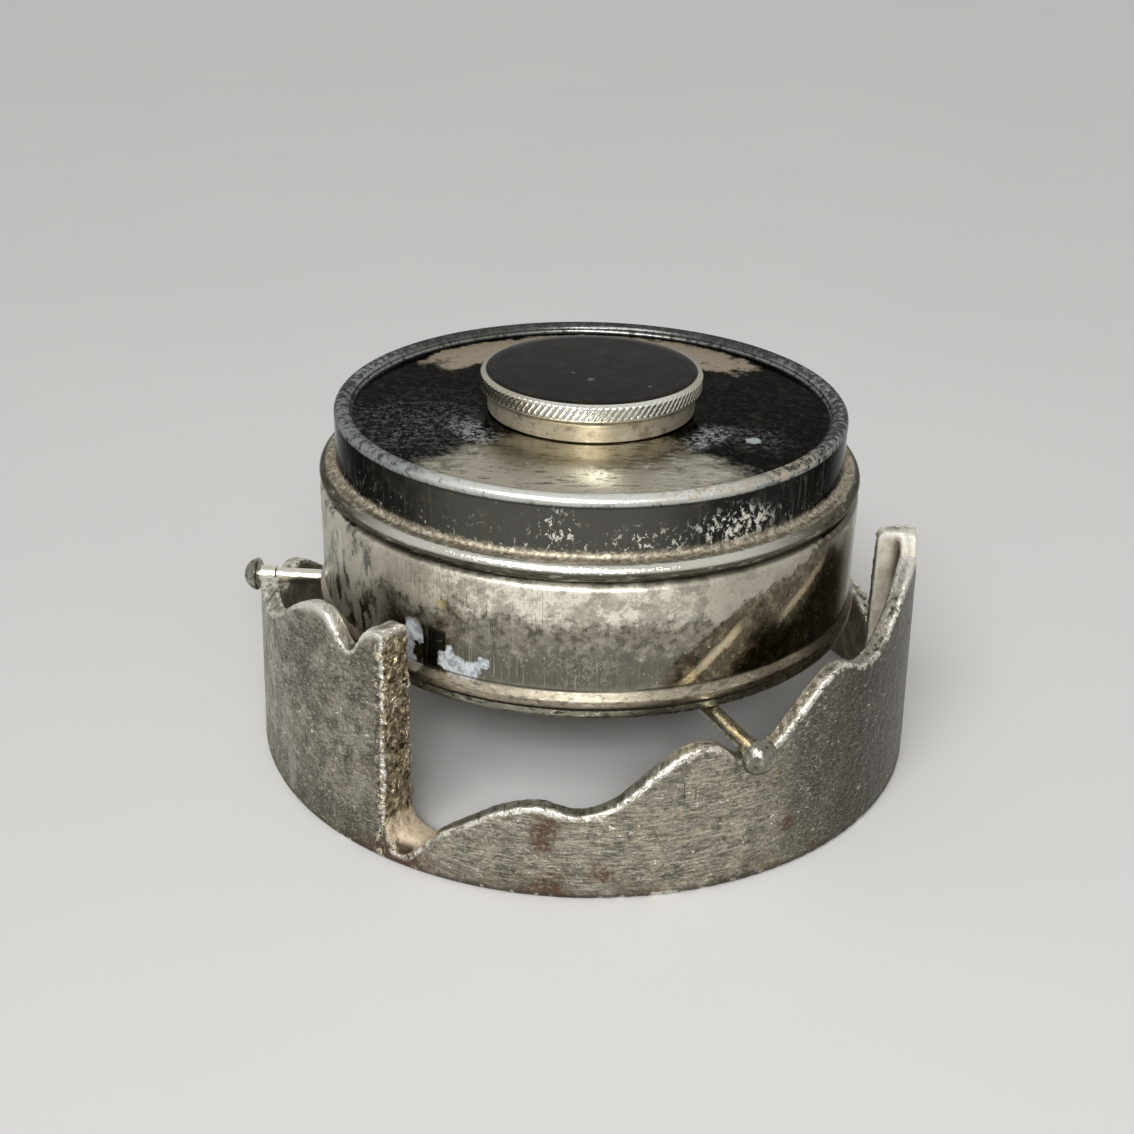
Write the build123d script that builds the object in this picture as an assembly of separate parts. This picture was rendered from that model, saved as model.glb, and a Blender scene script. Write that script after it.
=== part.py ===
from build123d import *
import os
from math import asin, cos, degrees, pi, radians, sin, tan

# Pocket spirit stove: a burner cup on three pins, standing in the notches of a cast ring.
# Millimetres and degrees. The origin is the centre of the ring's foot, on the table, +Z up.
# Azimuths count from the front (-Y) towards +X. Heights are above the table.

# Cast stand
stand_radius = 41.0
stand_draft = 1.7
foot_wall = 2.4
top_wall = 2.0
foot_round = 0.5
ramp_count = 3
first_drop = -33.0
post_height = 28.2
blank_spare = 2.0

# One ramp, from the foot of one drop to the post before the next: degrees past the drop,
# height of the top edge as a share of the post's height, and its climb there in mm a degree
drop_foot = (0.0, 0.184, -2.2)
valley = (2.6, 0.053, 0.0)
toe = (10.0, 0.216, 0.45)
crests = ((26.0, 0.404), (52.0, 0.645), (77.5, 0.819), (106.0, 0.996))
notches = ((31.5, 0.372), (58.5, 0.553), (84.0, 0.762), (112.5, 0.876))
post_shoulder = 117.5
pin_step = 1

# The left ramp came out of its mould with two lower crests
left_ramp = 2
left_crests = ((26.0, 0.404), (52.0, 0.590), (77.5, 0.792), (106.0, 0.996))

# Inward web behind each drop, and the gusset that ties its foot to the low wall
web_thickness = 2.3
web_depth = 5.6
web_corner = 1.0
web_droop = 0.3
web_step = 0.05
web_spare = 0.6
gusset_height = 3.3
gusset_span = 12.0
gusset_root = 1.5

# Support pins, upset from wire and soldered under the pan
pin_radius = 1.0
pin_collar_radius = 1.2
pin_collar_inset = 1.3
pin_head_standoff = 1.0
pin_head_radius = 2.1
pin_head_height = 2.0
pin_length = 21.5
notch_gap = 0.2
solder_start = 9.6
solder_end = 1.5
solder_width = 3.8
solder_crown = 2.7
solder_drop = 0.9
solder_gap = 0.03

# Burner cup, pan and collar, all of thin sheet
sheet_wall = 0.45
tight_bend = 0.05
web_room = 2.25
cup_height = 15.8
bead_height = 2.1
bead_proud = 0.55
pan_inset = 0.15
pan_lip = 1.1
shoulder_round = 0.8
collar_headroom = 1.65
collar_depth = 2.8
lap_gap = 0.05

# Wick packing, gauze and the wire ring that holds the gauze down
packing_gap = 0.3
packing_lift = 0.1
gauze_height = 0.8
gauze_thickness = 0.4
gauze_crown = 0.5
gauze_wire = 0.45

# Lid
lid_slip = 0.25
lid_seat_gap = 0.2
lid_height = 7.9
lid_rim_rise = 1.2
lid_rim_width = 1.9
lid_rim_bend = 0.4
hem_radius = 1.1
hem_inset = 0.9
hem_sweep = 0.65

# Neck and screw cap
neck_radius = 11.7
neck_wall = 0.5
neck_rise = 3.5
neck_flange = 2.3
cap_slip = 0.25
cap_seat_gap = 0.2
cap_bead_height = 2.0
cap_bead_proud = 0.85
cap_bead_drop = 0.2
cap_shoulder = 0.6
liner_thickness = 0.55
liner_gap = 0.15
liner_play = 0.15


# The radii and heights that follow from the sizes above
tight_round = sheet_wall + tight_bend
lid_rim_round = sheet_wall + lid_rim_bend
web_reach = stand_radius - web_depth
bead_outer = web_reach - web_room
cup_radius = bead_outer - bead_proud
pan_radius = bead_outer - pan_inset
notch_azimuth, notch_share = notches[pin_step]
pin_level = notch_share * post_height + notch_gap + pin_collar_radius
pan_level = pin_level + pin_radius
cup_top = pan_level + cup_height
hem_centre = cup_radius - hem_radius
lid_radius = hem_centre - hem_inset
hem_level = cup_top + lid_seat_gap + hem_radius
lid_top = cup_top + lid_seat_gap + lid_height
collar_radius = lid_radius - sheet_wall - lid_slip
collar_bore = collar_radius - sheet_wall
collar_top = lid_top - sheet_wall - collar_headroom
gauze_level = cup_top + gauze_height
neck_top = lid_top + neck_rise
cap_foot = lid_top + cap_seat_gap
cap_radius = neck_radius + cap_slip + sheet_wall
liner_level = neck_top + liner_play
cap_top = liner_level + liner_thickness + liner_gap + sheet_wall


def polar(radius, azimuth, height=0.0):
    angle = radians(azimuth)
    return Vector(radius * sin(angle), -radius * cos(angle), height)


def turned(outline):
    """A closed outline of radius and height, turned about the upright axis."""
    return revolve(Plane.XZ * make_face(outline), Axis.Z, 360)


def sheet(outside):
    """Thin sheet turned about the upright axis, from the outside line of its section."""
    return turned(offset(outside, sheet_wall, side=Side.LEFT))


def disc(radius, low, high):
    return Pos(0, 0, low) * Cylinder(radius, high - low, align=(Align.CENTER, Align.CENTER, Align.MIN))


def dome_of(rim, rise):
    """The radius and sweep of the arc that rises to the axis from a rim."""
    radius = (rim**2 + rise**2) / (2 * rise)
    return radius, degrees(asin(rim / radius))


def at_ramp(ramp):
    return Rot(0, 0, first_drop + ramp * 360 / ramp_count)


# Cast stand: a ring with three climbing ramps of notches, and a web behind each drop
def stand_outside(height):
    return stand_radius - height * tan(radians(stand_draft))


def stand_inside(height):
    wall = foot_wall + (top_wall - foot_wall) * height / post_height
    return stand_outside(height) - wall


def ramp_rows(ramp):
    rows = [drop_foot, valley, toe]
    ramp_crests = left_crests if ramp == left_ramp else crests
    for crest, notch in zip(ramp_crests, notches):
        rows.append((*crest, 0.0))
        rows.append((*notch, 0.0))
    rows.append((post_shoulder, 1.0, 0.0))
    rows.append((360.0 / ramp_count, 1.0, 0.0))
    return rows


def ramp_edge(radius, ramp):
    """A ramp's top edge as a curve wound round the axis at one radius."""
    along = radius * pi / 180
    points = []
    directions = []
    for azimuth, share, climb in ramp_rows(ramp):
        angle = radians(azimuth)
        points.append(polar(radius, azimuth, share * post_height))
        directions.append(Vector(along * cos(angle), along * sin(angle), climb))
    return Spline(points, tangents=directions)


def ramp_cutter(ramp):
    """Everything above one ramp, with its underside level along every radius."""
    inner_edge = ramp_edge(web_reach - foot_wall, ramp)
    outer_edge = ramp_edge(stand_radius + foot_wall, ramp)
    surface = Face.make_surface_from_curves(inner_edge, outer_edge)
    return Solid.extrude(surface, Vector(0, 0, post_height + blank_spare))


def end_web():
    """The inward web behind a drop, with some metal to spare past the drop at azimuth 0."""
    web_top = post_height - web_step
    outline = Polyline(
        (web_reach, 0),
        (stand_outside(0) - foot_wall / 2, 0),
        (stand_outside(post_height) - top_wall / 2, web_top),
        (web_reach, web_top - web_droop),
        close=True,
    )
    plate = make_face(outline)
    inner_corner = plate.vertices().sort_by(Axis.Y)[2:].sort_by(Axis.X)[0]
    plate = fillet(inner_corner, web_corner)
    upright = Plane(origin=(web_spare, 0, 0), x_dir=(0, -1, 0), z_dir=(-1, 0, 0))
    return extrude(upright * plate, web_thickness + web_spare)


def gusset():
    """The low shelf that runs from the foot of a web out to the wall."""
    outer = stand_outside(0) - foot_wall / 2
    outline = Polyline(
        polar(outer, -gusset_root),
        polar(web_reach, -gusset_root),
        polar(web_reach, gusset_root),
        polar(stand_inside(0), gusset_span),
        polar(outer, gusset_span),
        close=True,
    )
    return extrude(make_face(outline), gusset_height, dir=(0, 0, 1))


def make_stand():
    blank_top = post_height + blank_spare
    outline = Polyline(
        (stand_inside(0), 0),
        (stand_outside(0), 0),
        (stand_outside(blank_top), blank_top),
        (stand_inside(blank_top), blank_top),
        close=True,
    )
    stand = turned(outline)
    foot_circles = stand.edges().filter_by(GeomType.CIRCLE).group_by(Axis.Z)[0]
    stand = fillet(foot_circles, foot_round)
    for ramp in range(ramp_count):
        stand += at_ramp(ramp) * end_web()
    for ramp in range(ramp_count):
        stand -= at_ramp(ramp) * ramp_cutter(ramp)
    for ramp in range(ramp_count):
        stand += at_ramp(ramp) * gusset()
    return stand


# Burner: pan, cup wall and collar, with the pins soldered under the pan
def make_base_pan():
    outside = FilletPolyline(
        (0, pan_level),
        (pan_radius, pan_level),
        (pan_radius, pan_level + pan_lip),
        radius=tight_round,
    )
    return sheet(outside)


def make_cup_shell():
    skirt_radius = pan_radius - sheet_wall - lap_gap
    lip_level = pan_level + pan_lip + lap_gap
    outside = FilletPolyline(
        (skirt_radius, pan_level + sheet_wall + lap_gap),
        (skirt_radius, lip_level),
        (bead_outer, lip_level),
        (bead_outer, lip_level + bead_height / 2),
        (cup_radius, lip_level + bead_height),
        (cup_radius, cup_top),
        (collar_radius + lap_gap, cup_top),
        radius=(0, tight_round, tight_round, tight_round, shoulder_round),
    )
    return sheet(outside)


def make_collar_ring():
    outline = Polyline(
        (collar_bore, cup_top - collar_depth),
        (collar_radius, cup_top - collar_depth),
        (collar_radius, collar_top),
        (collar_bore, collar_top),
        close=True,
    )
    return turned(outline)


def at_pin(pin):
    """The place of one pin, lying level with its length along a radius."""
    azimuth = first_drop + notch_azimuth + pin * 360 / ramp_count
    return Pos(0, 0, pin_level) * Rot(0, 0, azimuth - 90)


def make_pin(pin):
    """A wire pin with a collar where it lies in the notch, and a domed head outside the ring."""
    collar_start = stand_radius - pin_collar_inset
    head_seat = stand_radius + pin_head_standoff
    head_end = head_seat + pin_head_height
    wire_end = head_seat - pin_length
    shank = Polyline(
        (head_end, 0),
        (wire_end, 0),
        (wire_end, pin_radius),
        (collar_start, pin_radius),
        (collar_start + pin_collar_radius - pin_radius, pin_collar_radius),
        (head_seat, pin_collar_radius),
        (head_seat, pin_head_radius),
    )
    dome_radius, dome_sweep = dome_of(pin_head_radius, pin_head_height)
    dome = CenterArc((head_end - dome_radius, 0), dome_radius, 0, dome_sweep)
    return at_pin(pin) * revolve(make_face([*shank.edges(), dome]), Axis.X, 360)


def solder_mound():
    """The fillet of solder that holds a pin's shank to the pan."""
    start = pan_radius - solder_start
    crown = Polyline(
        (-solder_width / 2, pin_radius),
        (solder_width / 2, pin_radius),
        (solder_crown / 2, pin_radius - solder_drop),
        (-solder_crown / 2, pin_radius - solder_drop),
        close=True,
    )
    across = Plane(origin=(start, 0, 0), x_dir=(0, 1, 0), z_dir=(1, 0, 0))
    mound = extrude(across * make_face(crown), solder_start - solder_end)
    wire = Rot(0, 90, 0) * Cylinder(pin_radius + solder_gap, stand_radius * 2)
    return mound - wire


def make_pin_solder():
    return [at_pin(pin) * solder_mound() for pin in range(ramp_count)]


# Inside the cup
def make_wick_packing():
    wide = cup_radius - sheet_wall - packing_gap
    narrow = collar_bore - packing_gap
    step_level = cup_top - collar_depth - packing_gap
    low = pan_level + sheet_wall + packing_lift
    outline = Polyline(
        (0, low),
        (wide, low),
        (wide, step_level),
        (narrow, step_level),
        (narrow, gauze_level - packing_lift),
        (0, gauze_level - packing_lift),
        close=True,
    )
    return turned(outline)


def make_gauze_disc():
    rim = collar_bore - packing_gap
    radius, sweep = dome_of(rim, gauze_crown)
    arcs = []
    for crown_level in (gauze_level + gauze_crown, gauze_level + gauze_crown + gauze_thickness):
        arcs.append(CenterArc((0, crown_level - radius), radius, 90 - sweep, sweep))
    rim_line = Line((rim, gauze_level), (rim, gauze_level + gauze_thickness))
    centre_line = Line(arcs[0] @ 1, arcs[1] @ 1)
    return turned([*arcs, rim_line, centre_line])


def make_gauze_ring():
    ring_radius = collar_bore - gauze_wire - lap_gap
    ring_level = gauze_level + gauze_thickness + gauze_wire + lap_gap
    return Pos(0, 0, ring_level) * Torus(ring_radius, gauze_wire)


# Lid with its threaded neck
def make_lid_shell():
    """A lid with a raised rounded rim, and a hem rolled outward at its foot."""
    hem_top = hem_level + hem_radius
    rim_top = lid_top + lid_rim_rise
    rim_inside = lid_radius - lid_rim_width
    hem = CenterArc((hem_centre, hem_level), hem_radius, 180, 270)
    skirt = FilletPolyline(
        (hem_centre, hem_top),
        (lid_radius, hem_top),
        (lid_radius, rim_top),
        (rim_inside, rim_top),
        (rim_inside, lid_top),
        (neck_radius + lap_gap, lid_top),
        radius=(hem_sweep, lid_rim_round, lid_rim_round, lid_rim_round),
    )
    return sheet(Wire([hem, *skirt.edges()]))


def make_lid_neck():
    flange_radius = neck_radius + neck_flange
    flange_top = lid_top - sheet_wall
    bore = neck_radius - neck_wall
    outline = Polyline(
        (bore, flange_top - neck_wall),
        (flange_radius, flange_top - neck_wall),
        (flange_radius, flange_top),
        (neck_radius, flange_top),
        (neck_radius, neck_top),
        (bore, neck_top),
        close=True,
    )
    return turned(outline)


# Screw cap with its liner
def make_screw_cap():
    """A pressed cap: plain skirt, proud band for the fingers, and a shoulder up to the flat top."""
    bead_radius = cap_radius + cap_bead_proud
    bead_top = cap_top - cap_bead_drop
    outside = FilletPolyline(
        (cap_radius, cap_foot),
        (cap_radius, bead_top - cap_bead_height),
        (bead_radius, bead_top - cap_bead_height),
        (bead_radius, bead_top),
        (bead_radius - cap_shoulder, cap_top),
        (0, cap_top),
        radius=(0, tight_round, tight_round, 0),
    )
    return sheet(outside)


def make_cap_liner():
    return disc(neck_radius, liner_level, liner_level + liner_thickness)


def main():
    pieces = {
        "stand_ring": make_stand(),
        "base_pan": make_base_pan(),
        "cup_shell": make_cup_shell(),
        "collar_ring": make_collar_ring(),
        "pin_front": make_pin(0),
        "pin_back": make_pin(1),
        "pin_left": make_pin(2),
        "pin_solder": Compound(children=make_pin_solder()),
        "wick_packing": make_wick_packing(),
        "gauze_disc": make_gauze_disc(),
        "gauze_ring": make_gauze_ring(),
        "lid_shell": make_lid_shell(),
        "lid_neck": make_lid_neck(),
        "screw_cap": make_screw_cap(),
        "cap_liner": make_cap_liner(),
    }
    os.makedirs("parts", exist_ok=True)
    for name, piece in pieces.items():
        export_step(piece, f"parts/{name}.step")


main()
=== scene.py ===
from math import cos, pi, radians, sin, sqrt, tan

import bmesh
import bpy
import numpy as np
from mathutils import Matrix, Vector, noise


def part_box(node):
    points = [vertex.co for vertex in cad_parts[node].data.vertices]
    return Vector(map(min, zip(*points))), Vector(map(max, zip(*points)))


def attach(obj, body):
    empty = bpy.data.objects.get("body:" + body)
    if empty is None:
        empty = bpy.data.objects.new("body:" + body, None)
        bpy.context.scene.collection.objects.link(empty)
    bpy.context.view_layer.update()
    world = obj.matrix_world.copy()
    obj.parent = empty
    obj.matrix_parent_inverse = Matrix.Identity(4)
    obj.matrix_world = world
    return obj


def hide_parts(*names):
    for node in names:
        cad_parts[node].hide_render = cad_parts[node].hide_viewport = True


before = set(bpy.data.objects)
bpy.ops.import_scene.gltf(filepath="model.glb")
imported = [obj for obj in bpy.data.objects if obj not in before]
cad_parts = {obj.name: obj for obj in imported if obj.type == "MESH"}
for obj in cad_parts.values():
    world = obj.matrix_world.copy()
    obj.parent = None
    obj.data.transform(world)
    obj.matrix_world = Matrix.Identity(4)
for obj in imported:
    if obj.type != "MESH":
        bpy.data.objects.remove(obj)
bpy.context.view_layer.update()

# The view. The photograph looks down on the stove by about 26 degrees, from a hand's
# length in front of it, with the camera turned by one degree.
MM = 0.001
eye = Vector((-2.5, -184.9, 109.9)) * MM
look_down = radians(25.83)
lean = radians(1.1)
camera = bpy.data.objects.new("view", bpy.data.cameras.new("view"))
camera.data.lens = 51.84
camera.data.sensor_width = 36
camera.data.clip_start = 0.01
camera.matrix_world = (
    Matrix.Translation(eye)
    @ Matrix.Rotation(pi / 2 - look_down, 4, "X")
    @ Matrix.Rotation(lean, 4, "Z")
)
bpy.context.scene.collection.objects.link(camera)
bpy.context.scene.camera = camera
bpy.context.scene.view_settings.view_transform = "Standard"


# The table and the light: a pale tabletop, a pale room all round, one broad soft lamp high
# in front on the left, and a smaller one above the camera that gives the bright places.
class Finish:
    """One material, built up in coats. Lengths are in mm, and azimuths in degrees from the
    front towards +X."""

    def __init__(self, name, colour, rough, metal):
        self.material = bpy.data.materials.new(name)
        self.material.use_nodes = True
        self.nodes = self.material.node_tree.nodes
        self.links = self.material.node_tree.links
        self.skin = self.nodes["Principled BSDF"]
        self.colour = (*colour, 1)
        self.rough = rough
        self.metal = metal
        self.height = None
        here = self.put("TexCoord", {})["Object"]
        self.place = self.put("VectorMath", {0: here, "Scale": 1 / MM}, operation="SCALE")["Vector"]
        parts = self.put("SeparateXYZ", {0: self.place})
        self.x, self.y, self.z = parts["X"], parts["Y"], parts["Z"]
        squares = [self.sum("MULTIPLY", side, side) for side in (self.x, self.y)]
        self.reach = self.sum("SQRT", self.sum("ADD", *squares))
        turn = self.sum("ARCTAN2", self.x, self.sum("MULTIPLY", self.y, -1.0))
        self.azimuth = self.sum("MULTIPLY", turn, 180 / pi)
        arc_run = self.sum("MULTIPLY", turn, self.reach)
        self.unrolled = self.put("CombineXYZ", {0: arc_run, 1: self.reach, 2: self.z})["Vector"]

    def put(self, kind, feeds, **settings):
        made = self.nodes.new("ShaderNode" + kind)
        for key, value in settings.items():
            setattr(made, key, value)
        for key, feed in feeds.items():
            self.feed(made.inputs[key], feed)
        return made.outputs

    def feed(self, socket, value):
        if isinstance(value, bpy.types.NodeSocket):
            self.links.new(value, socket)
        else:
            socket.default_value = value

    def sum(self, operation, *values):
        return self.put("Math", dict(enumerate(values)), operation=operation)[0]

    def scaled(self, value, by, plus):
        return self.sum("MULTIPLY_ADD", value, by, plus)

    def stretched(self, stretch, turn, shift, wound):
        """The place, or the place unrolled along the arc, as one texture sees it."""
        feeds = {
            "Vector": self.unrolled if wound else self.place,
            "Location": (shift, shift * 0.7, shift * 1.3),
            "Rotation": tuple(radians(a) for a in turn),
            "Scale": tuple(1 / s for s in stretch),
        }
        return self.put("Mapping", feeds, vector_type="POINT")["Vector"]

    def cloud(
        self, size, detail=2.0, rough=0.55, stretch=(1, 1, 1), turn=(0, 0, 0),
        shift=0.0, warp=0.0, wound=False,
    ):
        """Soft noise of one size, between 0 and 1."""
        feeds = {
            "Vector": self.stretched(stretch, turn, shift, wound),
            "Scale": 1 / size,
            "Detail": detail,
            "Roughness": rough,
            "Distortion": warp,
        }
        return self.put("TexNoise", feeds)[0]

    def cells(self, size, shift=0.0, output="Distance"):
        """Grains of one size: the distance from each grain's middle, or its own colour."""
        feeds = {"Vector": self.stretched((1, 1, 1), (0, 0, 0), shift, False), "Scale": 1 / size}
        return self.put("TexVoronoi", feeds)[output]

    def grain_shade(self, size, shift=0.0):
        """One random shade for each grain."""
        return self.put("SeparateColor", {0: self.cells(size, shift, "Color")})[0]

    def rise(self, value, low, high):
        """0 below low and 1 above high, with a soft step between; low may be the larger."""
        feeds = {"Value": value, "From Min": low, "From Max": high}
        return self.put("MapRange", feeds, interpolation_type="SMOOTHSTEP", clamp=True)[0]

    def patchy(self, low, high, *cloud, **how):
        """Noise cut into patches, by a soft step between two of its levels."""
        return self.rise(self.cloud(*cloud, **how), low, high)

    def within(self, value, low, high, soft):
        """1 between low and high, with soft sides."""
        up = self.rise(value, low - soft, low + soft)
        return self.both(up, self.rise(value, high + soft, high - soft))

    def both(self, *masks):
        product = masks[0]
        for mask in masks[1:]:
            product = self.sum("MULTIPLY", product, mask)
        return product

    def either(self, *masks):
        most = masks[0]
        for mask in masks[1:]:
            most = self.sum("MAXIMUM", most, mask)
        return most

    def without(self, mask):
        return self.sum("SUBTRACT", 1.0, mask)

    def toward(self, azimuth, full, none):
        """1 on the side that faces one azimuth, and 0 at none degrees from it."""
        angle = radians(azimuth)
        ahead = self.sum("MULTIPLY", self.x, sin(angle))
        ahead = self.scaled(self.y, -cos(angle), ahead)
        return self.rise(
            self.sum("DIVIDE", ahead, self.reach), cos(radians(none)), cos(radians(full))
        )

    def marked(self, name):
        """A measure kept on the mesh, such as how worn each point is."""
        return self.put("Attribute", {}, attribute_name=name)["Fac"]

    def spot(self, azimuth, radius, height, wide, tall, ragged=0.5, grain=1.5, edge=0.15):
        """A patch round one place on the stove, with a ragged edge."""
        angle = radians(azimuth)
        middle = (radius * sin(angle), -radius * cos(angle), height)
        apart = self.put("VectorMath", {0: self.place, 1: middle}, operation="SUBTRACT")[0]
        sides = (1 / wide, 1 / wide, 1 / tall)
        scaled = self.put("VectorMath", {0: apart, 1: sides}, operation="MULTIPLY")[0]
        far = self.put("VectorMath", {0: scaled}, operation="LENGTH")["Value"]
        wobble = self.scaled(self.cloud(grain, 3.0), ragged * 2, -ragged)
        return self.rise(self.sum("ADD", far, wobble), 1 + edge, 1 - edge)

    def coat(self, masks, colour=None, rough=None, metal=None):
        """Lays a coat under one mask, or where all of several masks meet."""
        mask = self.both(*masks) if isinstance(masks, tuple) else masks
        if colour is not None:
            self.colour = self.tint(mask, self.colour, colour)
        if rough is not None:
            self.rough = self.blend(mask, self.rough, rough)
        if metal is not None:
            self.metal = self.blend(mask, self.metal, metal)

    def tint(self, mask, under, over):
        mixer = self.nodes.new("ShaderNodeMix")
        mixer.data_type = "RGBA"
        self.feed(mixer.inputs[0], mask)
        for socket, value in ((mixer.inputs[6], under), (mixer.inputs[7], over)):
            self.feed(
                socket, (*value, 1) if isinstance(value, tuple) and len(value) == 3 else value
            )
        return mixer.outputs[2]

    def blend(self, mask, under, over):
        mixer = self.nodes.new("ShaderNodeMix")
        for socket, value in zip(
            (mixer.inputs[0], mixer.inputs[2], mixer.inputs[3]), (mask, under, over)
        ):
            self.feed(socket, value)
        return mixer.outputs[0]

    def raised(self, value, depth):
        """Adds to the fine relief: depth in mm from the value's 0 to its 1."""
        lift = self.sum("MULTIPLY", value, depth)
        self.height = lift if self.height is None else self.sum("ADD", self.height, lift)

    def done(self, **sockets):
        self.feed(self.skin.inputs["Base Color"], self.colour)
        self.feed(self.skin.inputs["Roughness"], self.rough)
        self.feed(self.skin.inputs["Metallic"], self.metal)
        if self.height is not None:
            feeds = {"Height": self.height, "Distance": MM, "Strength": 1.0}
            self.feed(self.skin.inputs["Normal"], self.put("Bump", feeds)["Normal"])
        for name, value in sockets.items():
            self.skin.inputs[name.replace("_", " ")].default_value = value
        return self.material

    def cover(self, piece, **sockets):
        piece.data.materials.append(self.done(**sockets))


half = 2.0
table_mesh = bpy.data.meshes.new("tabletop")
table_mesh.from_pydata(
    [(-half, -half, 0), (half, -half, 0), (half, half, 0), (-half, half, 0)], [], [(0, 1, 2, 3)]
)
tabletop = bpy.data.objects.new("tabletop", table_mesh)
bpy.context.scene.collection.objects.link(tabletop)
paper = Finish("pale_paper", (0.80, 0.79, 0.77), 0.9, 0.0)
paper.coat(paper.cloud(60, 3.0), (0.76, 0.755, 0.74))
paper.cover(tabletop)

room = bpy.data.worlds.new("pale_room")
bpy.context.scene.world = room
room.use_nodes = True
air = room.node_tree
path = air.nodes.new("ShaderNodeLightPath").outputs
seen = path["Is Camera Ray"]
for kind in ("Is Glossy Ray", "Is Transmission Ray"):
    more = air.nodes.new("ShaderNodeMath")
    more.operation = "MAXIMUM"
    air.links.new(seen, more.inputs[0])
    air.links.new(path[kind], more.inputs[1])
    seen = more.outputs[0]
strength = air.nodes.new("ShaderNodeMapRange")
strength.inputs["To Min"].default_value = 0.3
strength.inputs["To Max"].default_value = 0.7
air.links.new(seen, strength.inputs["Value"])
air.nodes["Background"].inputs["Color"].default_value = (1.0, 0.99, 0.97, 1)
air.links.new(strength.outputs[0], air.nodes["Background"].inputs["Strength"])

broad = bpy.data.lights.new("broad_lamp", "SUN")
broad.energy = 1.3
broad.angle = radians(28)
near = bpy.data.lights.new("near_lamp", "AREA")
near.shape = "RECTANGLE"
near.size = 0.18
near.size_y = 0.10
near.spread = radians(70)
near.energy = 0.19
for lamp, at in ((broad, Vector((-0.4, -0.8, 0.95))), (near, Vector((0.01, -0.44, 0.30)))):
    holder = bpy.data.objects.new(lamp.name, lamp)
    holder.location = at
    holder.rotation_euler = at.to_track_quat("Z", "Y").to_euler()
    bpy.context.scene.collection.objects.link(holder)


# The cast ring: one iron casting with three climbing ramps of notches and a web behind
# each drop, nickel-plated over its sand grain. Its edges came rounded from the mould.
def measured(mesh):
    points = np.empty(len(mesh.vertices) * 3)
    mesh.vertices.foreach_get("co", points)
    return points.reshape(-1, 3)


def facing(mesh):
    normals = np.empty(len(mesh.vertices) * 3, np.float32)
    mesh.vertex_normals.foreach_get("vector", normals)
    return normals.reshape(-1, 3).astype(float)


def eased(mesh, values, rounds):
    """Each point's values moved towards its neighbours' average, a number of times."""
    edges = np.empty(len(mesh.edges) * 2, np.int32)
    mesh.edges.foreach_get("vertices", edges)
    a, b = edges.reshape(-1, 2).T
    count = np.bincount(a, minlength=len(values)) + np.bincount(b, minlength=len(values))
    values = values.copy()
    for _ in range(rounds):
        for column in values.T:
            near_by = np.bincount(
                a, column[b], len(column)
            ) + np.bincount(b, column[a], len(column))
            column += 0.5 * (near_by / count - column)
    return values


def rippled(points, size, seed=0.0, detail=1):
    """Noise of one size in mm at each point, about -1 to 1."""
    offset = Vector((seed, seed * 1.7, seed * 2.3))
    return np.array(
        [noise.fractal(Vector(p) / (size * MM) + offset, 1.0, 2.0, detail) for p in points]
    )


def moved(mesh, points):
    mesh.vertices.foreach_set("co", points.ravel())
    mesh.update()


def keep(mesh, name, values):
    mesh.attributes.new(name, "FLOAT", "POINT").data.foreach_set("value", values.astype(np.float32))


def show(name, mesh, body, slot, *nodes):
    piece = bpy.data.objects.new(name, mesh)
    bpy.context.scene.collection.objects.link(piece)
    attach(piece, body)
    if nodes:
        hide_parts(*nodes)
    return piece


def skinned(name, node, grain, rounds):
    """A CAD solid's shape in one even skin of small faces, with its edges eased."""
    rough_copy = bpy.data.objects.new("rough_copy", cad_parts[node].data.copy())
    bpy.context.scene.collection.objects.link(rough_copy)
    skin = rough_copy.modifiers.new("skin", "REMESH")
    skin.mode = "VOXEL"
    skin.voxel_size = grain * MM
    bpy.context.view_layer.update()
    mesh = bpy.data.meshes.new_from_object(
        rough_copy.evaluated_get(bpy.context.evaluated_depsgraph_get())
    )
    bpy.data.objects.remove(rough_copy)
    mesh.name = name
    mesh.materials.clear()
    moved(mesh, eased(mesh, measured(mesh), rounds))
    mesh.polygons.foreach_set("use_smooth", [True] * len(mesh.polygons))
    return mesh


first_drop = -33.0
drop_azimuths = [first_drop + 120 * k for k in range(3)]
foot_radius = 41.0
wall_radius = 40.6
inner_radius = 38.0
skin_grain = 0.26
fillet_rounds = 24
fillet_height = 3.4
fillet_size = 2.2
cast = skinned("cast_ring", "stand_ring", skin_grain, 6)
spots = measured(cast)
# The inner corner at the foot of each drop was filled with a fillet.
filled = eased(cast, spots, fillet_rounds)
for azimuth in drop_azimuths:
    turn = radians(azimuth + 1.5)
    corner = np.array([inner_radius * sin(turn), -inner_radius * cos(turn), fillet_height]) * MM
    away = np.linalg.norm(spots - corner, axis=1) / (fillet_size * MM)
    nearness = np.clip(1.6 - away, 0, 1)[:, None]
    spots += nearness * (filled - spots)
moved(cast, spots)
normal = facing(cast)
radius = np.hypot(spots[:, 0], spots[:, 1])
past_drop = (np.degrees(np.arctan2(spots[:, 0], -spots[:, 1])) - first_drop) % 120
along = np.stack([-spots[:, 1], spots[:, 0]], 1) / radius[:, None]
forward = (normal[:, :2] * along).sum(1)
outward = (normal[:, :2] * spots[:, :2]).sum(1) / radius
drop_face = np.clip(forward * 2 - 0.6, 0, 1) * ((past_drop > 112) | (past_drop < 6))
web_face = np.clip(-forward * 2 - 0.6, 0, 1) * (past_drop > 112)
upward = np.clip(normal[:, 2] * 2 - 0.6, 0, 1)
beside_drop = np.clip((past_drop - 117.8) / 0.8, 0, 1)
coarse = np.maximum(drop_face, 0.7 * beside_drop)
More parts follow.
